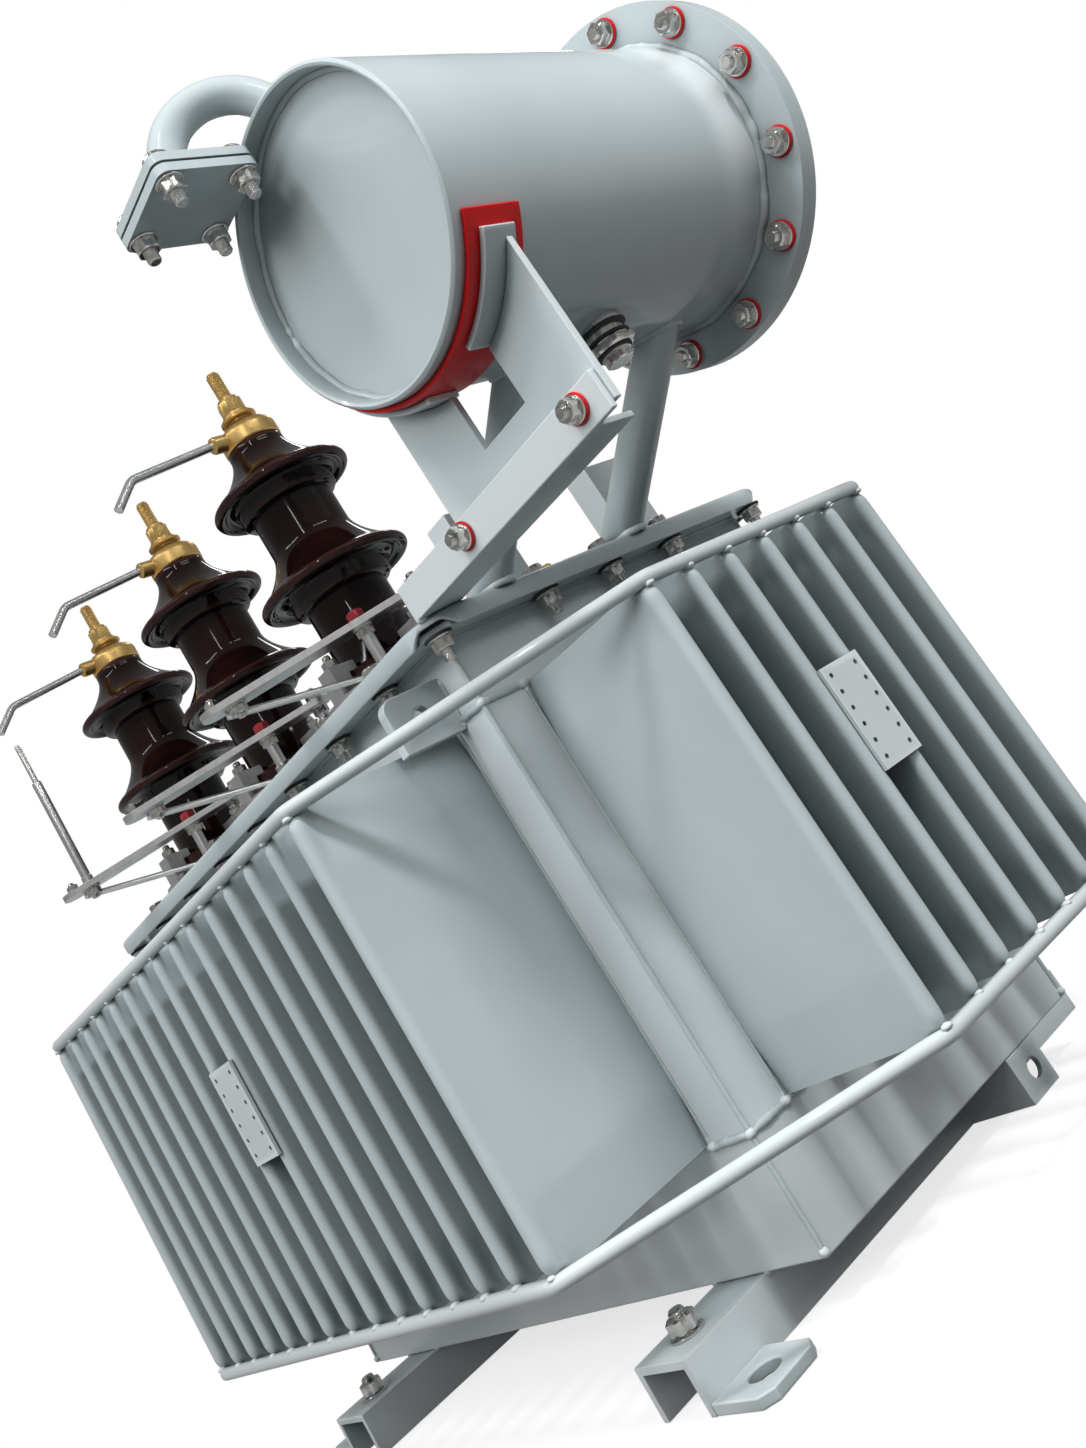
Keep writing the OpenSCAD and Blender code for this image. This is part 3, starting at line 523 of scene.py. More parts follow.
def use(tree, shared, **values):
    n = tree.nodes.new("ShaderNodeGroup")
    n.node_tree = shared
    for key, v in values.items():
        n.inputs[key.replace("_", " ")].default_value = v
    return n


def blank(name):
    m = bpy.data.materials.new(name)
    m.use_nodes = True
    return m, m.node_tree, m.node_tree.nodes["Principled BSDF"]


def bump(tree, shader, height, strength, distance):
    b = tree.nodes.new("ShaderNodeBump")
    b.inputs["Strength"].default_value = strength
    b.inputs["Distance"].default_value = distance
    link(tree, height, b.inputs["Height"])
    link(tree, b.outputs["Normal"], shader.inputs["Normal"])


def painted_material(name, deep, pale):
    """Pale blue-grey gloss enamel with slow tone change, painted shade in the gaps and corners, a painted
    highlight along outer edges, and a little dust.
    """
    m, tree, shader = blank(name)
    surface = use(tree, UNEVEN, Cloud_Size=4.0, Fine_Size=260.0)
    corners = use(tree, CORNERS, Spread=0.07)
    dust = use(tree, DUST, Amount=0.3)
    shade = use(tree, SHADE, Reach=0.05)
    tone = ramp(tree, surface.outputs["Cloud"], 0.3, 0.7)
    tone = blend_colour(tree, tone, deep, pale)
    # Painted shade: the colour darkens where faces stand close together, in gaps and recesses.
    dim = ramp(tree, shade.outputs["Open"], 0.1, 0.85, 0.8, 0.0)
    tone = blend_colour(tree, dim, tone, (0.085, 0.106, 0.113))
    # Painted shade: darker in the mesh's inner corners.
    corner = ramp(tree, corners.outputs["Corner"], 0.1, 1.0, 0.0, 0.5)
    tone = blend_colour(tree, corner, tone, (0.20, 0.24, 0.25))
    # Painted highlight: lighter along outer edges.
    edge = ramp(tree, corners.outputs["Edge"], 0.7, 1.0, 0.0, 0.6)
    tone = blend_colour(tree, edge, tone, (0.70, 0.75, 0.77))
    tone = blend_colour(tree, dust.outputs["Dust"], tone, (0.52, 0.53, 0.52))
    link(tree, tone, shader.inputs["Base Color"])
    rough = maths(tree, "ADD", ramp(tree, surface.outputs["Cloud"], 0.3, 0.7, 0.30, 0.40),
                  maths(tree, "MULTIPLY", dust.outputs["Dust"], 0.35))
    link(tree, rough, shader.inputs["Roughness"])
    shader.inputs["Coat Weight"].default_value = 0.6
    shader.inputs["Coat Roughness"].default_value = 0.06
    bump(tree, shader, surface.outputs["Waviness"], 0.05, 0.0006)
    return m


def glaze_material():
    """Dark brown fired glaze, thinner and redder on the rims."""
    m, tree, shader = blank("Brown glaze")
    surface = use(tree, UNEVEN, Cloud_Size=14.0, Fine_Size=120.0)
    corners = use(tree, CORNERS, Spread=0.05)
    tone = ramp(tree, surface.outputs["Cloud"], 0.3, 0.7)
    tone = blend_colour(tree, tone, (0.0040, 0.0016, 0.0016), (0.0090, 0.0030, 0.0028))
    rim = ramp(tree, corners.outputs["Edge"], 0.15, 1.0, 0.0, 0.7)
    tone = blend_colour(tree, rim, tone, (0.034, 0.011, 0.009))
    link(tree, tone, shader.inputs["Base Color"])
    link(tree, ramp(tree, surface.outputs["Fine"], 0.3, 0.7, 0.05, 0.10), shader.inputs["Roughness"])
    shader.inputs["Specular IOR Level"].default_value = 0.25
    bump(tree, shader, surface.outputs["Waviness"], 0.06, 0.0006)
    return m


def metal_material(name, dark, light, rough_low, rough_high, closeness, wear):
    """Bare metal with tool lines, painted shade in crevices and edges worn bright."""
    m, tree, shader = blank(name)
    lines = use(tree, LINES, Closeness=closeness)
    surface = use(tree, UNEVEN, Cloud_Size=40.0, Fine_Size=500.0)
    corners = use(tree, CORNERS, Spread=0.08)
    tone = blend_colour(tree, ramp(tree, lines.outputs["Lines"], 0.3, 0.7), dark, light)
    # Painted shade: darker in the mesh's inner corners.
    crevice_shade = tuple(c * 0.25 for c in dark)
    tone = blend_colour(tree, ramp(tree, corners.outputs["Corner"], 0.1, 1.0, 0.0, 0.8), tone, crevice_shade)
    worn = tuple(min(1.0, c * 1.25) for c in light)
    tone = blend_colour(tree, ramp(tree, corners.outputs["Edge"], 0.2, 1.0, 0.0, wear), tone, worn)
    link(tree, tone, shader.inputs["Base Color"])
    shader.inputs["Metallic"].default_value = 1.0
    rough = ramp(tree, surface.outputs["Cloud"], 0.3, 0.7, rough_low, rough_high)
    link(tree, rough, shader.inputs["Roughness"])
    bump(tree, shader, lines.outputs["Lines"], 0.015, 0.0003)
    return m


def red_material(name, deep, bright):
    """Smooth red rubber or lacquer, with painted shade in its corners."""
    m, tree, shader = blank(name)
    surface = use(tree, UNEVEN, Cloud_Size=20.0, Fine_Size=300.0)
    corners = use(tree, CORNERS, Spread=0.08)
    tone = ramp(tree, surface.outputs["Cloud"], 0.3, 0.7)
    tone = blend_colour(tree, tone, deep, bright)
    # Painted shade: darker in the mesh's inner corners.
    dark = tuple(c * 0.4 for c in deep)
    tone = blend_colour(tree, ramp(tree, corners.outputs["Corner"], 0.1, 1.0, 0.0, 0.6), tone, dark)
    link(tree, tone, shader.inputs["Base Color"])
    link(tree, ramp(tree, surface.outputs["Cloud"], 0.3, 0.7, 0.26, 0.36), shader.inputs["Roughness"])
    shader.inputs["Specular IOR Level"].default_value = 0.35
    bump(tree, shader, surface.outputs["Waviness"], 0.03, 0.0004)
    return m


def gasket_material():
    """Matt black rubber sheet."""
    m, tree, shader = blank("Black gasket")
    surface = use(tree, UNEVEN, Cloud_Size=30.0, Fine_Size=400.0)
    tone = ramp(tree, surface.outputs["Cloud"], 0.3, 0.7)
    tone = blend_colour(tree, tone, (0.012, 0.012, 0.013), (0.030, 0.031, 0.032))
    link(tree, tone, shader.inputs["Base Color"])
    link(tree, ramp(tree, surface.outputs["Fine"], 0.3, 0.7, 0.55, 0.75), shader.inputs["Roughness"])
    bump(tree, shader, surface.outputs["Fine"], 0.2, 0.0004)
    return m


PAINT = painted_material("Grey enamel", (0.415, 0.475, 0.490), (0.455, 0.518, 0.535))
# A paler copy of the grey enamel for the rails, rail welds and name plates; its extra lightness is
# painted light.
LIT_PAINT = painted_material("Lit grey enamel", (0.50, 0.55, 0.56), (0.56, 0.61, 0.62))
GLAZE = glaze_material()
BRASS = metal_material("Brass", (0.80, 0.51, 0.18), (0.87, 0.59, 0.23), 0.36, 0.42, 30.0, 0.3)
STEEL = metal_material("Bright steel", (0.74, 0.74, 0.73), (0.84, 0.84, 0.83), 0.34, 0.40, 20.0, 0.3)
ZINC = metal_material("Zinc fasteners", (0.44, 0.43, 0.41), (0.68, 0.67, 0.64), 0.18, 0.28, 50.0, 0.5)
RED_PAINT = red_material("Red gasket", (0.58, 0.003, 0.005), (0.68, 0.005, 0.008))
MAROON = red_material("Maroon lacquer", (0.16, 0.006, 0.010), (0.26, 0.010, 0.014))
GASKET = gasket_material()


# Tank, fins and rails

def smooth(t):
    t = min(1.0, max(0.0, t))
    return t * t * (3 - 2 * t)


def fin_rows(height):
    """Heights over the fin's foot, close together at the pressed ends."""
    near = [0, 1, 2, 3.5, 5, 7, 9, 11, 13.5, 16, 19, 22, 25, 28, 32, 36, 40, 44, 49, 54, 58, 64]
    return near + [height / 2 - 50, height / 2, height / 2 + 50] + [height - h for h in reversed(near)]


def fin(bm, place):
    """One pressed fin along local Y: a full nose with round ends, and flanks squeezed flat behind it."""
    height = FIN_TOP - FIN_BOTTOM
    corner, thin, hidden, tip, slope = 14.0, 2.4, 3.0, 16.0, 50.0
    inner = [(back, 1.0) for back in (120, 80, 50, 34, 26, 21, 18, 16, 14.5, 13, 11.5, 10, 8.5)]
    round_nose = [QUARTER * k / 8 for k in range(9)]
    stations = inner + [(FIN_HALF * (1 - math.sin(a)), math.cos(a)) for a in round_nose]
    rings = []
    for z in fin_rows(height):
        d = min(z, height - z)
        near = min(1.0, d / corner)
        depth = FIN_DEPTH - corner * (1 - math.sqrt(1 - (1 - near) ** 2))
        near = min(1.0, max(0.0, d - hidden) / tip)
        nose = math.sqrt(1 - (1 - near) ** 2)
        flank = min(1.0, d / slope)
        outline = [(thin + (FIN_HALF - thin) * flank, 0.0)]
        for back, narrow in stations:
            wide = nose + (flank - nose) * smooth((back - 7) / 11)
            outline.append(((thin + (FIN_HALF - thin) * wide) * narrow, depth - back))
        mirrored = [(-x, y) for x, y in reversed(outline[:-1])]
        rings.append(ring_of(bm, [place @ Vector((x, y, z)) for x, y in outline + mirrored]))
    skin(bm, rings, closed=False)
    for ring in (rings[0], rings[-1]):
        for k in range(len(ring) // 2):
            bm.faces.new(list(dict.fromkeys([ring[k], ring[k + 1], ring[-2 - k], ring[-1 - k]])))


def fin_side(node_name, count, origin, turn):
    """A row of fins along one side of the tank."""
    bm = bmesh.new()
    row = (count - 1) * FIN_PITCH / 2
    base = Matrix.Translation(Vector((*origin, FIN_BOTTOM))) @ Matrix.Rotation(turn, 4, "Z")
    for i in range(count):
        fin(bm, base @ Matrix.Translation((i * FIN_PITCH - row, 0, 0)))
    piece(node_name + "_pressed", bm, PAINT, (node_name,), 40)


def fins():
    fin_side("front_fins", LONG_FINS, (0, -TANK_Y), math.pi)
    fin_side("rear_fins", LONG_FINS, (0, TANK_Y), 0)
    fin_side("left_fins", SHORT_FINS, (-TANK_X, 0), QUARTER)
    fin_side("right_fins", SHORT_FINS, (TANK_X, 0), -QUARTER)


def rail_line(z):
    """The corners of the rail's path round the fins."""
    quarter = [(LONG_ROW, -RAIL_Y), (RAIL_X, -SHORT_ROW)]
    corners = quarter + [(x, -y) for x, y in reversed(quarter)]
    corners += [(-x, y) for x, y in reversed(corners)]
    return [(x, y, z) for x, y in corners]


def rails():
    """Two round rails bent round the fins."""
    for name, z in zip(("lower_rail", "upper_rail"), RAIL_HEIGHTS):
        bm = bmesh.new()
        tube(bm, bent(rail_line(z), RAIL_BEND, 6, True), RAIL_R, 24, True)
        piece(name + "_bent", bm, LIT_PAINT, (name,))


def rail_welds():
    """A small drop of weld where each fin end meets a rail."""
    bm = bmesh.new()
    chance = random.Random(5)
    drop_r, jitter = 4.0, 0.8
    spots = [(i * FIN_PITCH - LONG_ROW, s * (RAIL_Y + 0.5)) for i in range(LONG_FINS) for s in (-1, 1)]
    spots += [(s * (RAIL_X + 0.5), i * FIN_PITCH - SHORT_ROW) for i in range(SHORT_FINS) for s in (-1, 1)]
    for x, y in spots:
        for z in (RAIL_HEIGHTS[0] + RAIL_R - 0.5, RAIL_HEIGHTS[1] - RAIL_R + 0.5):
            at = (x + chance.uniform(-jitter, jitter), y, z)
            blob(bm, at, drop_r * chance.uniform(0.85, 1.15), x + y, 0.55)
    piece("rail_weld_drops", bm, LIT_PAINT, sharp=60)


def tank_welds():
    """Weld beads along the tank's corners, fins, lugs, flange and channels."""
    bm = bmesh.new()
    past = 8.0
    long_end, short_end = LONG_ROW + past, SHORT_ROW + past
    lug_inset, lug_low, lug_high, lug_half = 36, 63, 21, 5
    channel_half = 31
    for sx in (-1, 1):
        for sy in (-1, 1):
            x, y = sx * TANK_X, sy * TANK_Y
            weld(bm, [(x, y, TANK_BOTTOM + 3), (x, y, FLANGE_BOTTOM - 1)], 2.2, sx * 2.0 + sy, sway=0.1)
            blob(bm, (x, y, TANK_BOTTOM + 5), 4.2, sx + sy * 2, 0.9)
            for z in (FIN_BOTTOM - 2, FIN_TOP + 2):
                line = [(sx * long_end, y, z), (x, y, z), (x, sy * short_end, z)]
                weld(bm, line, 3.2, z + sx + sy * 3)
                for k, p in enumerate(line):
                    blob(bm, p, 4.6, z + k + sx + sy, 0.9)
            for side in (-lug_half, lug_half):
                lug_x = sx * (TANK_X - lug_inset) + side
                line = [(lug_x, y, FLANGE_BOTTOM - lug_low), (lug_x, y, FLANGE_BOTTOM - lug_high)]
                weld(bm, line, 2.6, sx + side * sy)
            for row_x, row_y in ((sx * (LONG_ROW + FIN_HALF), y), (x, sy * (SHORT_ROW + FIN_HALF))):
                line = [(row_x, row_y, FIN_BOTTOM), (row_x, row_y, FIN_TOP)]
                weld(bm, line, 1.7, row_x + row_y, sway=0.1)
    for s in (-1, 1):
        for z in (FIN_BOTTOM - 2, FIN_TOP + 2):
            weld(bm, [(-long_end, s * TANK_Y, z), (long_end, s * TANK_Y, z)], 2.4, z + s)
            weld(bm, [(s * TANK_X, -short_end, z), (s * TANK_X, short_end, z)], 2.4, z + s * 7)
        weld(bm, [(-TANK_X, s * TANK_Y, FLANGE_BOTTOM), (TANK_X, s * TANK_Y, FLANGE_BOTTOM)], 3.0, s * 9)
        weld(bm, [(s * TANK_X, -TANK_Y, FLANGE_BOTTOM), (s * TANK_X, TANK_Y, FLANGE_BOTTOM)], 3.0, s * 13)
        for side in (-channel_half, channel_half):
            x = s * CHANNEL_X + side
            weld(bm, [(x, -TANK_Y, TANK_BOTTOM), (x, TANK_Y, TANK_BOTTOM)], 3.0, s * 4 + side)
    piece("tank_weld_beads", bm, PAINT, sharp=60)


def flat_work():
    """Plates, channels and angles with their edges broken."""
    edge_widths = (("tank_body", 2.0), ("base_channel_left", 1.6), ("base_channel_right", 1.6),
                   ("foot_lugs", 1.6), ("earth_bracket", 1.0), ("lifting_lugs", 1.6),
                   ("tank_flange", 0.8), ("support_arm", 1.2), ("saddle_plate", 1.0),
                   ("lid_posts", 1.2), ("breather_flanges", 1.2), ("conservator_flange", 1.0),
                   ("conservator_cover", 1.4))
    for name, width in edge_widths:
        softened(name, width)
    for name in ("front_plate", "right_plate"):
        softened(name, 0.4, material=LIT_PAINT)
    softened("saddle_straps", 1.0, shift_y=-7.0)
    softened("saddle_pad", 1.2, material=RED_PAINT, trim_y=4.5)
    softened("lid_gasket", 0.6, material=GASKET)
    softened("hv_clamps", 1.0, material=STEEL)
    softened("hv_bars", 1.2, material=STEEL)


def lid_outline():
    """Points round the lid with their outward directions and the rise of the rim's corner arch."""
    radius, half_x, half_y = 40.0, LID_HIGH.x, LID_HIGH.y
    rise, full_width, fade = 9.5, 8.0, 17.0
    signs = ((1, 1), (-1, 1), (-1, -1), (1, -1))
    centres = [Vector((sx * (half_x - radius), sy * (half_y - radius), 0)) for sx, sy in signs]
    points = []
    for turn, centre in enumerate(centres):
        for k in range(41):
            a = QUARTER * (turn + k / 40)
            out = Vector((math.cos(a), math.sin(a), 0))
            off = abs(k / 40 - 0.5) * QUARTER * radius
            points.append((centre + out * radius, out, rise * (1 - smooth((off - full_width) / fade))))
        start, end = points[-1][0], centres[(turn + 1) % 4] + out * radius
        points += [(start.lerp(end, k / 12), out, 0.0) for k in range(1, 12)]
    return points


def lid():
    """The lid plate with its turned-down rim, which is cut in an arch over each corner bolt."""
    top, rim, under = LID_TOP, LID_TOP - RIM_HEIGHT, LID_TOP - PLATE
    rows = [(38, top, 0), (5, top, 0), (2.5, top - 0.5, 0), (0.8, top - 1.8, 0), (0, top - 4, 0.1),
            (0, rim + 1, 1), (0.8, rim, 1), (RIM_WALL - 0.8, rim, 1), (RIM_WALL, rim + 1, 1),
            (RIM_WALL, under - 1, 0.1), (RIM_WALL + 1, under, 0), (38, under, 0)]
    bm = bmesh.new()
    outline = lid_outline()
    rings = []
    for inset, z, share in rows:
        points = [p - out * inset + Vector((0, 0, z + rise * share)) for p, out, rise in outline]
        rings.append(ring_of(bm, points))
    skin(bm, rings)
    capped(bm, rings)
    piece("lid_pressed", bm, PAINT, ("lid",), 40)


# Bushings

def skirt(core_low, lip_r, lip_z, core_high, top_z, collar):
    """One flared skirt: stepped hollow underside, rounded lip, and a top that hollows to the core."""
    thick, flare, climb = 4.8, 1.6, 1.05
    step_r = core_low + collar
    pts = [(core_low, lip_z - 19), (core_low + collar * 0.7, lip_z - 18), (step_r, lip_z - 15.5),
           (step_r, lip_z - 5), (step_r + 2, lip_z - 2), (lip_r - 13, lip_z - 0.5),
           (lip_r - 10.5, lip_z - 1.5), (lip_r - 9, lip_z - 3.5)]
    for k in range(10):
        a = math.radians(-140 + 205 * k / 9)
        pts.append((lip_r - thick + thick * math.cos(a), lip_z + thick * math.sin(a)))
    pts.append((lip_r - thick - 1.0, lip_z + thick + 0.2))
    start_r, start_z = pts[-1]
    for k in range(1, 13):
        t = k / 12
        r = core_high + (start_r - core_high) * (1 - t) ** flare
        pts.append((r, start_z + (top_z - start_z) * t ** climb))
    return pts


def porcelain_profile():
    """Radius and height over the lid: foot, core, two skirts and neck."""
    pts = [(10, 0), (46.5, 0), (48, 1.5), (48, 24), (46, 26), (40, 26), (38, 28)]
    pts += skirt(38, 72, 112, 38, 155, 9)
    pts += skirt(38, 66, 208, 26.5, 252, 8)
    return pts + [(26.5, 256), (25, 258), (10, 258)]


def bushings():
    """Three porcelain bushings, each with a brass cap, nut, stud and side boss."""
    for name, middle in zip(HV_NAMES, HV_PLACES):
        x = middle.x
        bm = bmesh.new()
        turned(bm, porcelain_profile(), Matrix.Translation((x, HV_Y, LID_TOP)), 96)
        piece("hv_porcelain_" + name, bm, GLAZE, ("hv_bushing_" + name,), 50)
        bm = bmesh.new()
        base = Matrix.Translation((x, HV_Y, CAP_Z))
        cap = [(12, -0.5), (26, 0), (27, 1.2), (27, 12), (26, 15.5), (23, 19), (18, 21.5), (15, 23),
               (13.5, 25), (13.5, 27), (15.5, 27.4), (17, 28.4), (17, 30.6), (16, 31.6), (13.2, 32),
               (12.8, 33), (12.8, 35), (8, 35)]
        turned(bm, cap, base, 72)
        nut(bm, lifted(base, 34.8), 22, 14)
        turned(bm, [(8, 0), (9.4, 0.2), (9.4, 3.2), (8, 3.4)], lifted(base, 48.6), 40)
        thread(bm, lifted(base, 51.5), 6.5, 29.4, 2.6, 32)
        side = placed((x, HV_Y - 18, BOSS_Z), (0, -1, 0))
        turned(bm, [(8, 0), (8, 19.5), (7.4, 21.2), (6, 22)], side, 40)
        piece("hv_brass_" + name, bm, BRASS, ("hv_cap_" + name,), 35)


def horns():
    """A bent arcing horn from each brass cap's side boss."""
    bm = bmesh.new()
    boss_reach, bend_r, rod_r = 39, 16.0, 4.0
    slope = HORN_DROOP + HORN_BEND
    for middle in HV_PLACES:
        start = Vector((middle.x, HV_Y - boss_reach, BOSS_Z))
        bend = start + Vector((0, -math.cos(HORN_DROOP), -math.sin(HORN_DROOP))) * (HORN_LENGTH + 1)
        tip = bend + Vector((0, -math.cos(slope), -math.sin(slope))) * HORN_TIP
        tube(bm, bent([start, bend, tip], bend_r, 8), rod_r, 20)
    piece("hv_horn_rods", bm, STEEL, ("hv_horns",))


def bar_frame(x):
    """The horn bar's own frame: X runs along the bar from its end beside the bushing."""
    turn = Matrix.Rotation(BAR_TURN, 4, "Z")
    return Matrix.Translation((x, HV_Y, 0)) @ turn @ Matrix.Translation((-BAR_BACK, BAR_OFFSET, 0))


def lower_horn():
    """The stepped rod on the left bar's end that faces the horn above it."""
    bm = bmesh.new()
    middle = node_middle("lower_horn")
    tall = node_box("lower_horn")[1].z - BAR_TOP
    neck = tall - 46
    rod = [(3, -0.5), (5.8, 0), (5.8, 7), (5.0, 8), (5.0, neck - 1), (4.6, neck), (3.2, neck + 0.6),
           (3.0, neck + 1.4), (3.0, tall - 1), (2.4, tall), (1, tall)]
    turned(bm, rod, Matrix.Translation((middle.x, middle.y, BAR_TOP)), 28)
    piece("lower_horn_rod", bm, STEEL, ("lower_horn",))


def bar_struts():
    """A thin stay from each bar's outer end back to the clamp ring."""
    bm = bmesh.new()
    for middle in HV_PLACES:
        place = bar_frame(middle.x)
        a = place @ Vector((BAR_LENGTH - 6, -6, BAR_LOW - 3))
        b = place @ Vector((66, -12, LID_TOP + 9))
        tube(bm, [a, a.lerp(b, 0.5), b], 3.2, 12)
    piece("bar_struts", bm, STEEL)


def clamp_fasteners():
    """Nuts on the clamp ring's four jaws, and the bolts and nuts of each horn bar."""
    kit = new_kit()
    jaw_r, jaw_top, first_jaw = 57, LID_TOP + 35, 7
    for middle in HV_PLACES:
        x = middle.x
        for k in range(4):
            a = math.radians(first_jaw + k * 90)
            p = (x + jaw_r * math.cos(a), HV_Y + jaw_r * math.sin(a), jaw_top)
            nut_stack(kit, placed(p, turn=k * 0.4), 8.0, stub=5)
        place = bar_frame(x)
        foot = placed(place @ Vector((BAR_BACK, 0, BAR_TOP)))
        washer(kit["zinc"], foot, 9.5, 1.8)
        head(kit["maroon"], lifted(foot, 1.8) @ Matrix.Rotation(0.3, 4, "Z"), 13, 8)
        nut_stack(kit, placed(place @ Vector((0, 0, BAR_TOP))), 9.0, stub=4)
        for reach in (0, BAR_BACK, BAR_LENGTH - 18):
            nut_stack(kit, placed(place @ Vector((reach, 0, BAR_LOW)), (0, 0, -1)), 9.0, stub=3)
        nut_stack(kit, placed(place @ Vector((BAR_LENGTH, 0, BAR_TOP))), 7.0, stub=3)
    finish_kit("clamp_fasteners", kit)


def low_voltage():
    """The row of four small bushings with their brass terminals."""
    bm, metal = bmesh.new(), bmesh.new()
    insulator = [(10, 0), (23.5, 0), (24, 1), (24, 10), (22, 12), (22, 17), (33, 17.5), (34, 20),
                 (33.5, 23), (30, 26), (24, 29), (22, 32), (22, 43), (20, 46), (8, 46)]
    top = node_box("lv_terminals")[1].z - LID_TOP
    for k in range(4):
        at = Vector(mounts["lv_stud_%d" % (k + 1)]["pos_m"]) / MM
        base = Matrix.Translation((at.x, at.y, LID_TOP))
        turned(bm, insulator, base, 64)
        turned(metal, [(12, 0), (16, 0.3), (16, 2.6), (12, 3)], lifted(base, 46), 40)
        nut(metal, lifted(base, 48.8), 24, 8)
        thread(metal, lifted(base, 56), 7.0, top - 56, 2.2, 28)
    piece("lv_porcelain", bm, GLAZE, ("lv_bushings",), 40)
    piece("lv_brass", metal, BRASS, ("lv_terminals",), 35)


# Conservator and its carriers

def conservator():
    """The drum with its recessed near end and its welds."""
    place = placed((DRUM.x, DRUM_LOW.y, DRUM.z), (0, 1, 0))
    length, inner = DRUM_HIGH.y - DRUM_LOW.y, DRUM_R - 5
    bm = bmesh.new()
    shell = [(inner, 18), (inner, 2.5), (inner + 0.8, 0.8), (inner + 2.5, 0), (DRUM_R - 1.5, 0.4),
             (DRUM_R, 2.0), (DRUM_R, 20), (DRUM_R, 120), (DRUM_R, 240), (DRUM_R, length),
             (inner, length), (inner, 150)]
    turned_ring(bm, shell, place, 160)
    piece("conservator_drum", bm, PAINT, ("conservator_shell",), 30)
    bm = bmesh.new()
    disc = [(20, 19), (60, 18.5), (inner - 6, 18), (inner - 2, 17), (inner, 14.5), (inner, 22), (20, 22)]
    turned(bm, disc, place, 160)
    piece("conservator_end_disc", bm, PAINT, ("conservator_end",), 30)
    bm = bmesh.new()
    for radius, z, thick, seed in ((DRUM_R, length - 1, 4.5, 3.0), (inner, 17, 3.6, 6.0)):
        line = circle_points(place, radius, z, 120)
        weld(bm, line + line[:1], thick, seed, 4.0)
    piece("conservator_welds", bm, PAINT, sharp=60)


def breather_place():
    """Where the breather's bend starts on the drum, with Y running back from the bend."""
    start = Vector((DRUM.x - 7, DRUM_LOW.y + 33, DRUM.z + 108))
    return Matrix.Translation(start) @ Matrix.Rotation(math.radians(-31), 4, "Z")


def breather():
    """The breather's half-round bend with a weld at each end."""
    place, bend, pipe_r = breather_place(), 45.0, 13.5
    line = [Vector((0, 0, -14))]
    for k in range(33):
        a = math.pi * k / 32
        line.append(Vector((0, bend * (math.cos(a) - 1), bend * math.sin(a))))
    line.append(Vector((0, -2 * bend, -9.5)))
    bm = bmesh.new()
    tube(bm, [place @ p for p in line], pipe_r, 32, soft_end=False)
    piece("breather_bend", bm, PAINT, ("breather_pipe",))
    bm = bmesh.new()
    end = place @ Vector((0, -2 * bend, -10))
    round_end = circle_points(Matrix.Translation(end), 14.5, 0, 28)
    weld(bm, round_end + round_end[:1], 2.6, 5.0, 2.5)
    foot = circle_points(place, 14, 0, 36)
    for p in foot:
        p.z = DRUM.z + math.sqrt(DRUM_R ** 2 - (p.x - DRUM.x) ** 2)
    weld(bm, foot + foot[:1], 2.8, 8.0, 2.5)
    piece("breather_welds", bm, PAINT, sharp=60)


def breather_fasteners():
    """A nut below and a round head above at each corner of the breather's two flanges."""
    kit = new_kit()
    centre = Vector(mounts["breather_bolts"]["pos_m"]) / MM
    half = mounts["breather_bolts"]["dims"]["spacing_x_mm"] / 2
    stack = 16.0
    for sx in (-1, 1):
        for sy in (-1, 1):
            p = centre + Vector((sx * half, sy * half, 0))
            nut_stack(kit, placed(p, (0, 0, -1), sx * 0.3), 10.5, stub=9)
            turned(kit["zinc"], [(9.5, 0), (10, 0.8), (9.6, 3), (7.5, 5.2), (3, 6.2)],
                   placed(p + Vector((0, 0, stack))), 32)
    finish_kit("breather_fasteners", kit)


def cover_fasteners():
    """The ring of bolts through the conservator's flange and cover."""
    kit = new_kit()
    cover = mounts["cover_bolts"]
    centre = Vector(cover["pos_m"]) / MM
    radius, count, thread_d = cover["dims"]["pcd_mm"] / 2, cover["dims"]["count"], 11.0
    for k in range(count):
        a = FULL * k / count + COVER_TURN
        x, z = centre.x + radius * math.cos(a), centre.z + radius * math.sin(a)
        nut_stack(kit, placed((x, DRUM_HIGH.y, z), (0, -1, 0), k * 0.7), thread_d, "red", stub=3)
        bolt_head(kit, placed((x, centre.y, z), (0, 1, 0), k * 0.9), thread_d)
    finish_kit("cover_fasteners", kit)


def arm_fasteners():
    """The two bolts that hold the saddle plate to the support arm."""
    kit = new_kit()
    front = node_box("support_arm")[0].y
    back = node_box("saddle_plate")[1].y
    height, thread_d = LID_TOP + 17, 9.8
    left, right = DRUM.x - 85, DRUM.x + 65
    for x in (left, right):
        nut_stack(kit, placed((x, front, height), (0, -1, 0), 0.3), thread_d, "red", stub=4)
        bolt_head(kit, placed((x, back, height), (0, 1, 0)), thread_d)
    finish_kit("arm_fasteners", kit)


def lid_fasteners():
    """Bolts round the lid, whose corner ones have only their nuts in sight below the rim's arches."""
    kit = new_kit()
    out_x, out_y, step_x, step_y, thread_d = TANK_X + 12, TANK_Y + 12, 94.5, 80.0, 10.8
    spots = [(x * step_x, s * out_y) for x in range(-3, 4) for s in (-1, 1)]
    spots += [(s * out_x, y * step_y) for y in (-1, 0, 1) for s in (-1, 1)]
    corners = [(sx * out_x, sy * out_y) for sx in (-1, 1) for sy in (-1, 1)]
    for k, (x, y) in enumerate(spots + corners):
        nut_stack(kit, placed((x, y, FLANGE_BOTTOM), (0, 0, -1), k * 0.37), thread_d, "dark", stub=9)
        if (x, y) in spots:
            bolt_head(kit, placed((x, y, LID_TOP), (0, 0, 1), k * 0.53), thread_d)
    finish_kit("lid_fasteners", kit)


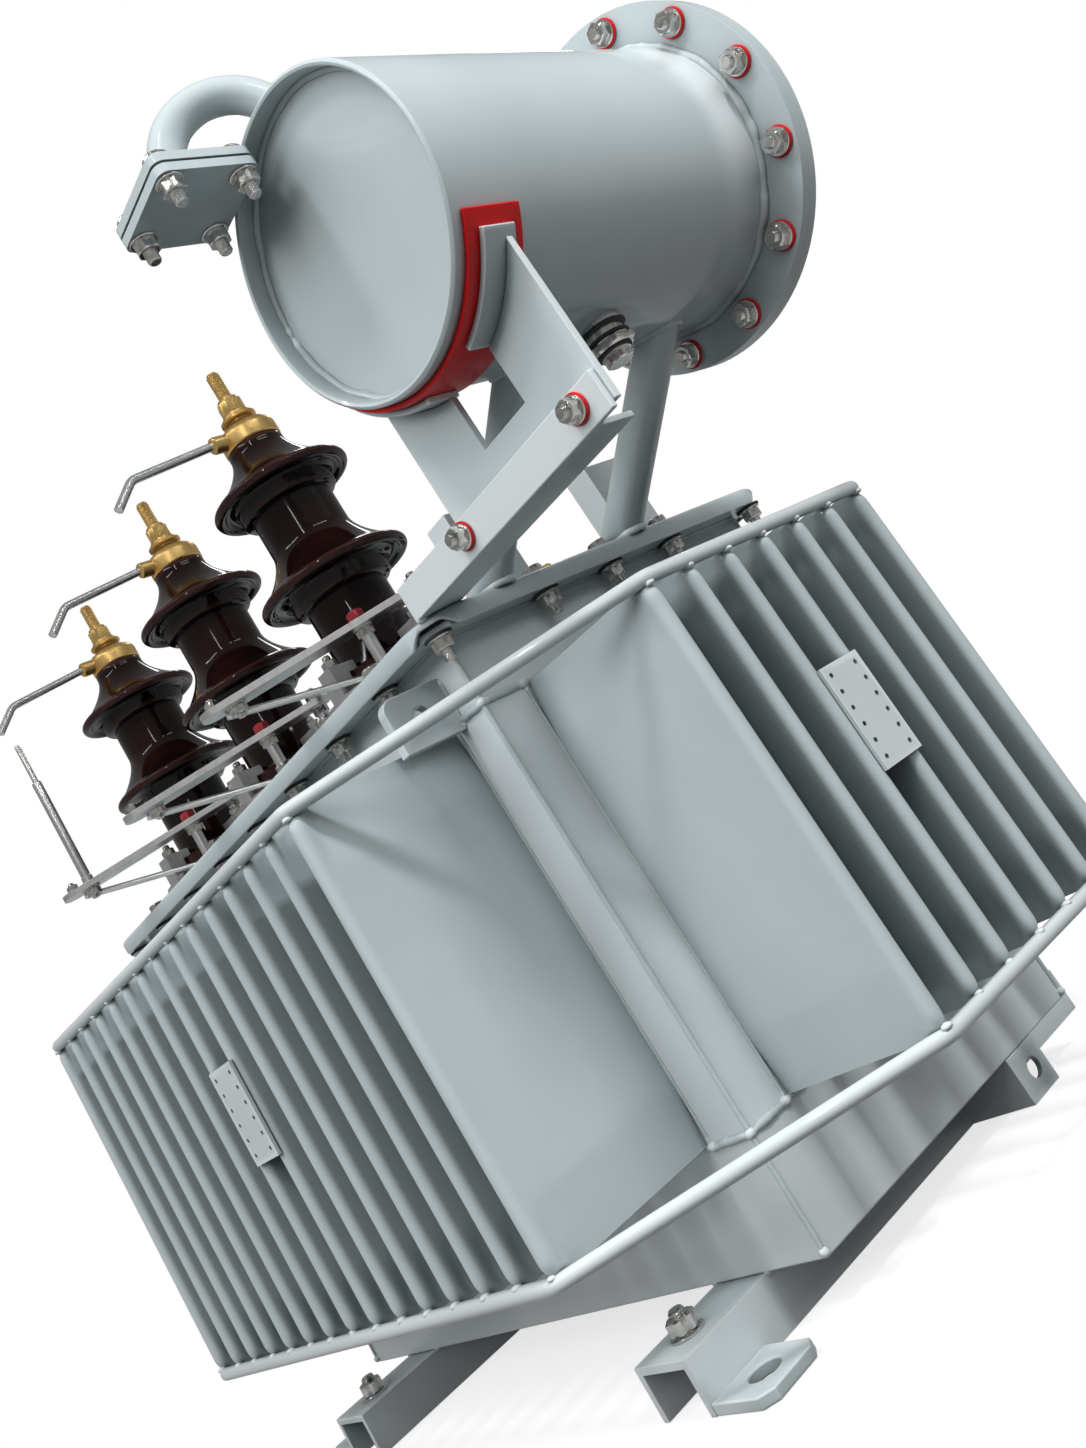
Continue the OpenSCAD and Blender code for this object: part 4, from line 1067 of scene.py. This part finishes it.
def foot_fasteners():
    """The bolts at the front ends of the base channels."""
    kit = new_kit()
    foot, thread_d, flange_thick = mounts["foot_bolts"]["dims"], 14.0, 6
    for s in (-1, 1):
        x, y = s * foot["spacing_x_mm"] / 2, -foot["spacing_y_mm"] / 2
        nut_stack(kit, placed((x, y, 0), (0, 0, 1), 0.2 * s), thread_d, stub=5)
        bolt_head(kit, placed((x, y, -flange_thick), (0, 0, -1), 0.1), thread_d)
    finish_kit("foot_fasteners", kit)


def pipe_rings(foot):
    """Rings of points from the lid to the drum for one leaning pipe."""
    direction = Vector((math.cos(PIPE_LEAN), 0, math.sin(PIPE_LEAN)))
    up = Vector((-math.sin(PIPE_LEAN), 0, math.cos(PIPE_LEAN)))
    low_ring, high_ring = [], []
    for k in range(40):
        a = FULL * k / 40
        q = foot + up * (PIPE_R * math.cos(a)) + Vector((0, PIPE_R * math.sin(a), 0))
        low_ring.append(q + direction * ((LID_TOP - q.z) / direction.z))
        off = q - Vector((DRUM.x, q.y, DRUM.z))
        b = off.dot(direction)
        reach = b * b - off.length_squared + (DRUM_R - 0.3) ** 2
        high_ring.append(q + direction * (-b - math.sqrt(max(0.0, reach))))
    return [[a.lerp(b, share) for a, b in zip(low_ring, high_ring)] for share in (0.0, 0.33, 0.66, 1.0)]


def carriers():
    """The two leaning pipes, and the welds of the pipes, the support arm and the saddle plate."""
    welds = bmesh.new()
    foot_inset = 27
    for name in ("oil_pipe", "strut_pipe"):
        bm = bmesh.new()
        y = node_middle(name).y
        rings = pipe_rings(Vector((LID_HIGH.x - foot_inset, y, LID_TOP)))
        skin(bm, [ring_of(bm, r) for r in rings])
        piece(name + "_round", bm, PAINT, (name,))
        for ring, thick in ((rings[0], 3.2), (rings[-1], 3.0)):
            weld(welds, ring + ring[:1], thick, y + thick, 3.0)
    low, high = node_box("support_arm")
    weld(welds, [(low.x + 2, low.y, LID_TOP), (low.x + 2, high.y, LID_TOP)], 2.6, 4.0)
    peak = max(frame["nodes"]["saddle_plate"].data.vertices, key=lambda v: v.co.z).co / MM
    blob(welds, (peak.x + 1.5, node_middle("saddle_plate").y, peak.z + 1), 5.5, 3.0, 0.9)
    piece("carrier_welds", welds, PAINT, sharp=60)


def drain_union():
    """The stepped union under the drum with its nuts and black seals."""
    bm = bmesh.new()
    middle = node_middle("drain_union")
    base = placed((middle.x, middle.y, DRUM.z - DRUM_R), (0, 0, -1))
    body = [(8, -6), (19, -6), (19, 0), (18, 1.5), (16, 2.5), (16, 8), (15, 9), (11, 9), (11, 11),
            (17, 11), (17.5, 12)]
    turned(bm, body, base, 56)
    nut(bm, lifted(base, 11.5), 34, 7.5)
    turned(bm, [(8, 0), (12.5, 0.3), (12.5, 3), (8, 4)], lifted(base, 18.8), 40)
    nut(bm, lifted(base, 21.5), 20, 7)
    piece("drain_union_parts", bm, ZINC, ("drain_union",), 32)
    seals = bmesh.new()
    for z, radius in ((0.6, 20.0), (8.6, 18.4), (18.4, 14.5)):
        washer(seals, lifted(base, z), radius, 2.2)
    piece("drain_union_seals", seals, GASKET)


# Stage

def seen_share(tree, glossy):
    """How far a ray sees the white backdrop: wholly by sight or through glass, partly by reflection."""
    rays = tree.nodes.new("ShaderNodeLightPath")
    direct = maths(tree, "MAXIMUM", rays.outputs["Is Camera Ray"], rays.outputs["Is Transmission Ray"])
    return maths(tree, "MAXIMUM", direct, maths(tree, "MULTIPLY", rays.outputs["Is Glossy Ray"], glossy))


def stage():
    """A floor that is white to the camera, grey as a source of bounced light, and shows a soft shadow.

    Its sizes are metres.
    """
    half_size, sink, fade_from, fade_to = 14, 0.0005, 0.7, 1.5
    mirrored_share = 0.4
    mesh = bpy.data.meshes.new("floor")
    bm = bmesh.new()
    bmesh.ops.create_grid(bm, x_segments=1, y_segments=1, size=half_size)
    bm.to_mesh(mesh)
    bm.free()
    floor = bpy.data.objects.new("floor", mesh)
    floor.location.z = FLOOR * MM - sink
    bpy.context.scene.collection.objects.link(floor)
    m = bpy.data.materials.new("White floor")
    m.use_nodes = True
    tree = m.node_tree
    tree.nodes.clear()
    out = tree.nodes.new("ShaderNodeOutputMaterial")
    grey = tree.nodes.new("ShaderNodeBsdfDiffuse")
    grey.inputs["Color"].default_value = (0.07, 0.07, 0.069, 1)
    white = tree.nodes.new("ShaderNodeBsdfDiffuse")
    white.inputs["Color"].default_value = (0.35, 0.35, 0.35, 1)
    glow = tree.nodes.new("ShaderNodeEmission")
    glow.inputs["Strength"].default_value = 0.74
    near = tree.nodes.new("ShaderNodeAddShader")
    link(tree, white.outputs["BSDF"], near.inputs[0])
    link(tree, glow.outputs["Emission"], near.inputs[1])
    far = tree.nodes.new("ShaderNodeEmission")
    distance = tree.nodes.new("ShaderNodeVectorMath")
    distance.operation = "LENGTH"
    link(tree, object_place(tree), distance.inputs[0])
    shown = tree.nodes.new("ShaderNodeMixShader")
    link(tree, ramp(tree, distance.outputs["Value"], fade_from, fade_to), shown.inputs["Fac"])
    link(tree, near.outputs["Shader"], shown.inputs[1])
    link(tree, far.outputs["Emission"], shown.inputs[2])
    mix = tree.nodes.new("ShaderNodeMixShader")
    link(tree, seen_share(tree, mirrored_share), mix.inputs["Fac"])
    link(tree, grey.outputs["BSDF"], mix.inputs[1])
    link(tree, shown.outputs["Shader"], mix.inputs[2])
    link(tree, mix.outputs["Shader"], out.inputs["Surface"])
    mesh.materials.append(m)


def sky():
    """A world that is white to the camera and dim as a source of light."""
    world = bpy.data.worlds.new("Studio")
    bpy.context.scene.world = world
    world.use_nodes = True
    tree = world.node_tree
    back = tree.nodes["Background"]
    back.inputs["Color"].default_value = (1, 1, 1, 1)
    strength = tree.nodes.new("ShaderNodeMapRange")
    dim, white, mirrored_share = 0.13, 1.0, 0.14
    strength.inputs["To Min"].default_value = dim
    strength.inputs["To Max"].default_value = white
    link(tree, seen_share(tree, mirrored_share), strength.inputs["Value"])
    link(tree, strength.outputs["Result"], back.inputs["Strength"])


def lamp(name, place, target, size, power, mirrored=True):
    """A rectangular lamp, in metres and watts; mirrored says whether shiny surfaces show it."""
    data = bpy.data.lights.new(name, "AREA")
    data.shape = "RECTANGLE"
    data.size, data.size_y = size
    data.energy = power
    obj = bpy.data.objects.new(name, data)
    obj.location = place
    obj.rotation_euler = (Vector(target) - Vector(place)).to_track_quat("-Z", "Y").to_euler()
    obj.visible_glossy = mirrored
    bpy.context.scene.collection.objects.link(obj)


def lights():
    lamp("end_panel", (2.95, 0.5, 2.0), (0.3, 0.0, 0.4), (3.0, 1.5), 44, False)
    lamp("front_panel", (0.2, -2.85, 2.0), (0.2, 0.0, 0.4), (3.0, 1.5), 72, False)
    lamp("end_key", (2.2, -0.15, 2.72), (0.3, 0.0, 0.4), (0.3, 0.3), 51, False)
    lamp("front_key", (0.7, -1.75, 2.95), (0.2, 0.0, 0.4), (0.4, 0.4), 22, False)
    lamp("low_fill", (2.1, -2.0, 0.6), (0.2, 0.0, 0.3), (1.2, 0.7), 3, False)
    lamp("rear_panel", (-1.8, 2.2, 1.8), (0.0, 0.0, 0.4), (2.0, 1.4), 36, False)
    lamp("corner_strip", (1.9, -1.8, 2.4), (0.2, -0.2, 0.5), (0.07, 1.4), 9)
    lamp("front_strip", (0.0, -1.9, 2.8), (0.2, -0.1, 0.6), (2.0, 0.07), 10)
    lamp("side_strip", (2.4, 0.3, 2.6), (0.4, 0.0, 0.6), (1.8, 0.07), 8)
    lamp("rear_strip", (-1.2, 1.9, 2.4), (0.0, 0.0, 0.5), (1.8, 0.12), 6)


def camera():
    """The photograph's camera, low and rolled to one side; its place is in metres."""
    data = bpy.data.cameras.new("camera")
    data.lens = 34.35
    data.sensor_width = 36.0
    data.shift_x, data.shift_y = 0.0099, -0.1062
    data.clip_start, data.clip_end = 0.02, 100
    obj = bpy.data.objects.new("camera", data)
    right = Vector((0.492893, 0.689167, -0.531137))
    up = Vector((0.50347, 0.271961, 0.820095))
    back = Vector((0.70963, -0.67163, -0.212927))
    eye = Vector((1.1677, -0.8302, 0.3323 + FLOOR * MM))
    obj.matrix_world = Matrix.Translation(eye) @ Matrix((right, up, back)).transposed().to_4x4()
    bpy.context.scene.collection.objects.link(obj)
    bpy.context.scene.camera = obj


for build in (fins, rails, rail_welds, tank_welds, flat_work, lid, bushings, horns, lower_horn,
              bar_struts, clamp_fasteners, low_voltage, conservator, breather, breather_fasteners,
              cover_fasteners, arm_fasteners, lid_fasteners, foot_fasteners, carriers, drain_union,
              stage, sky, lights, camera):
    build()
bpy.context.scene.view_settings.view_transform = "Standard"
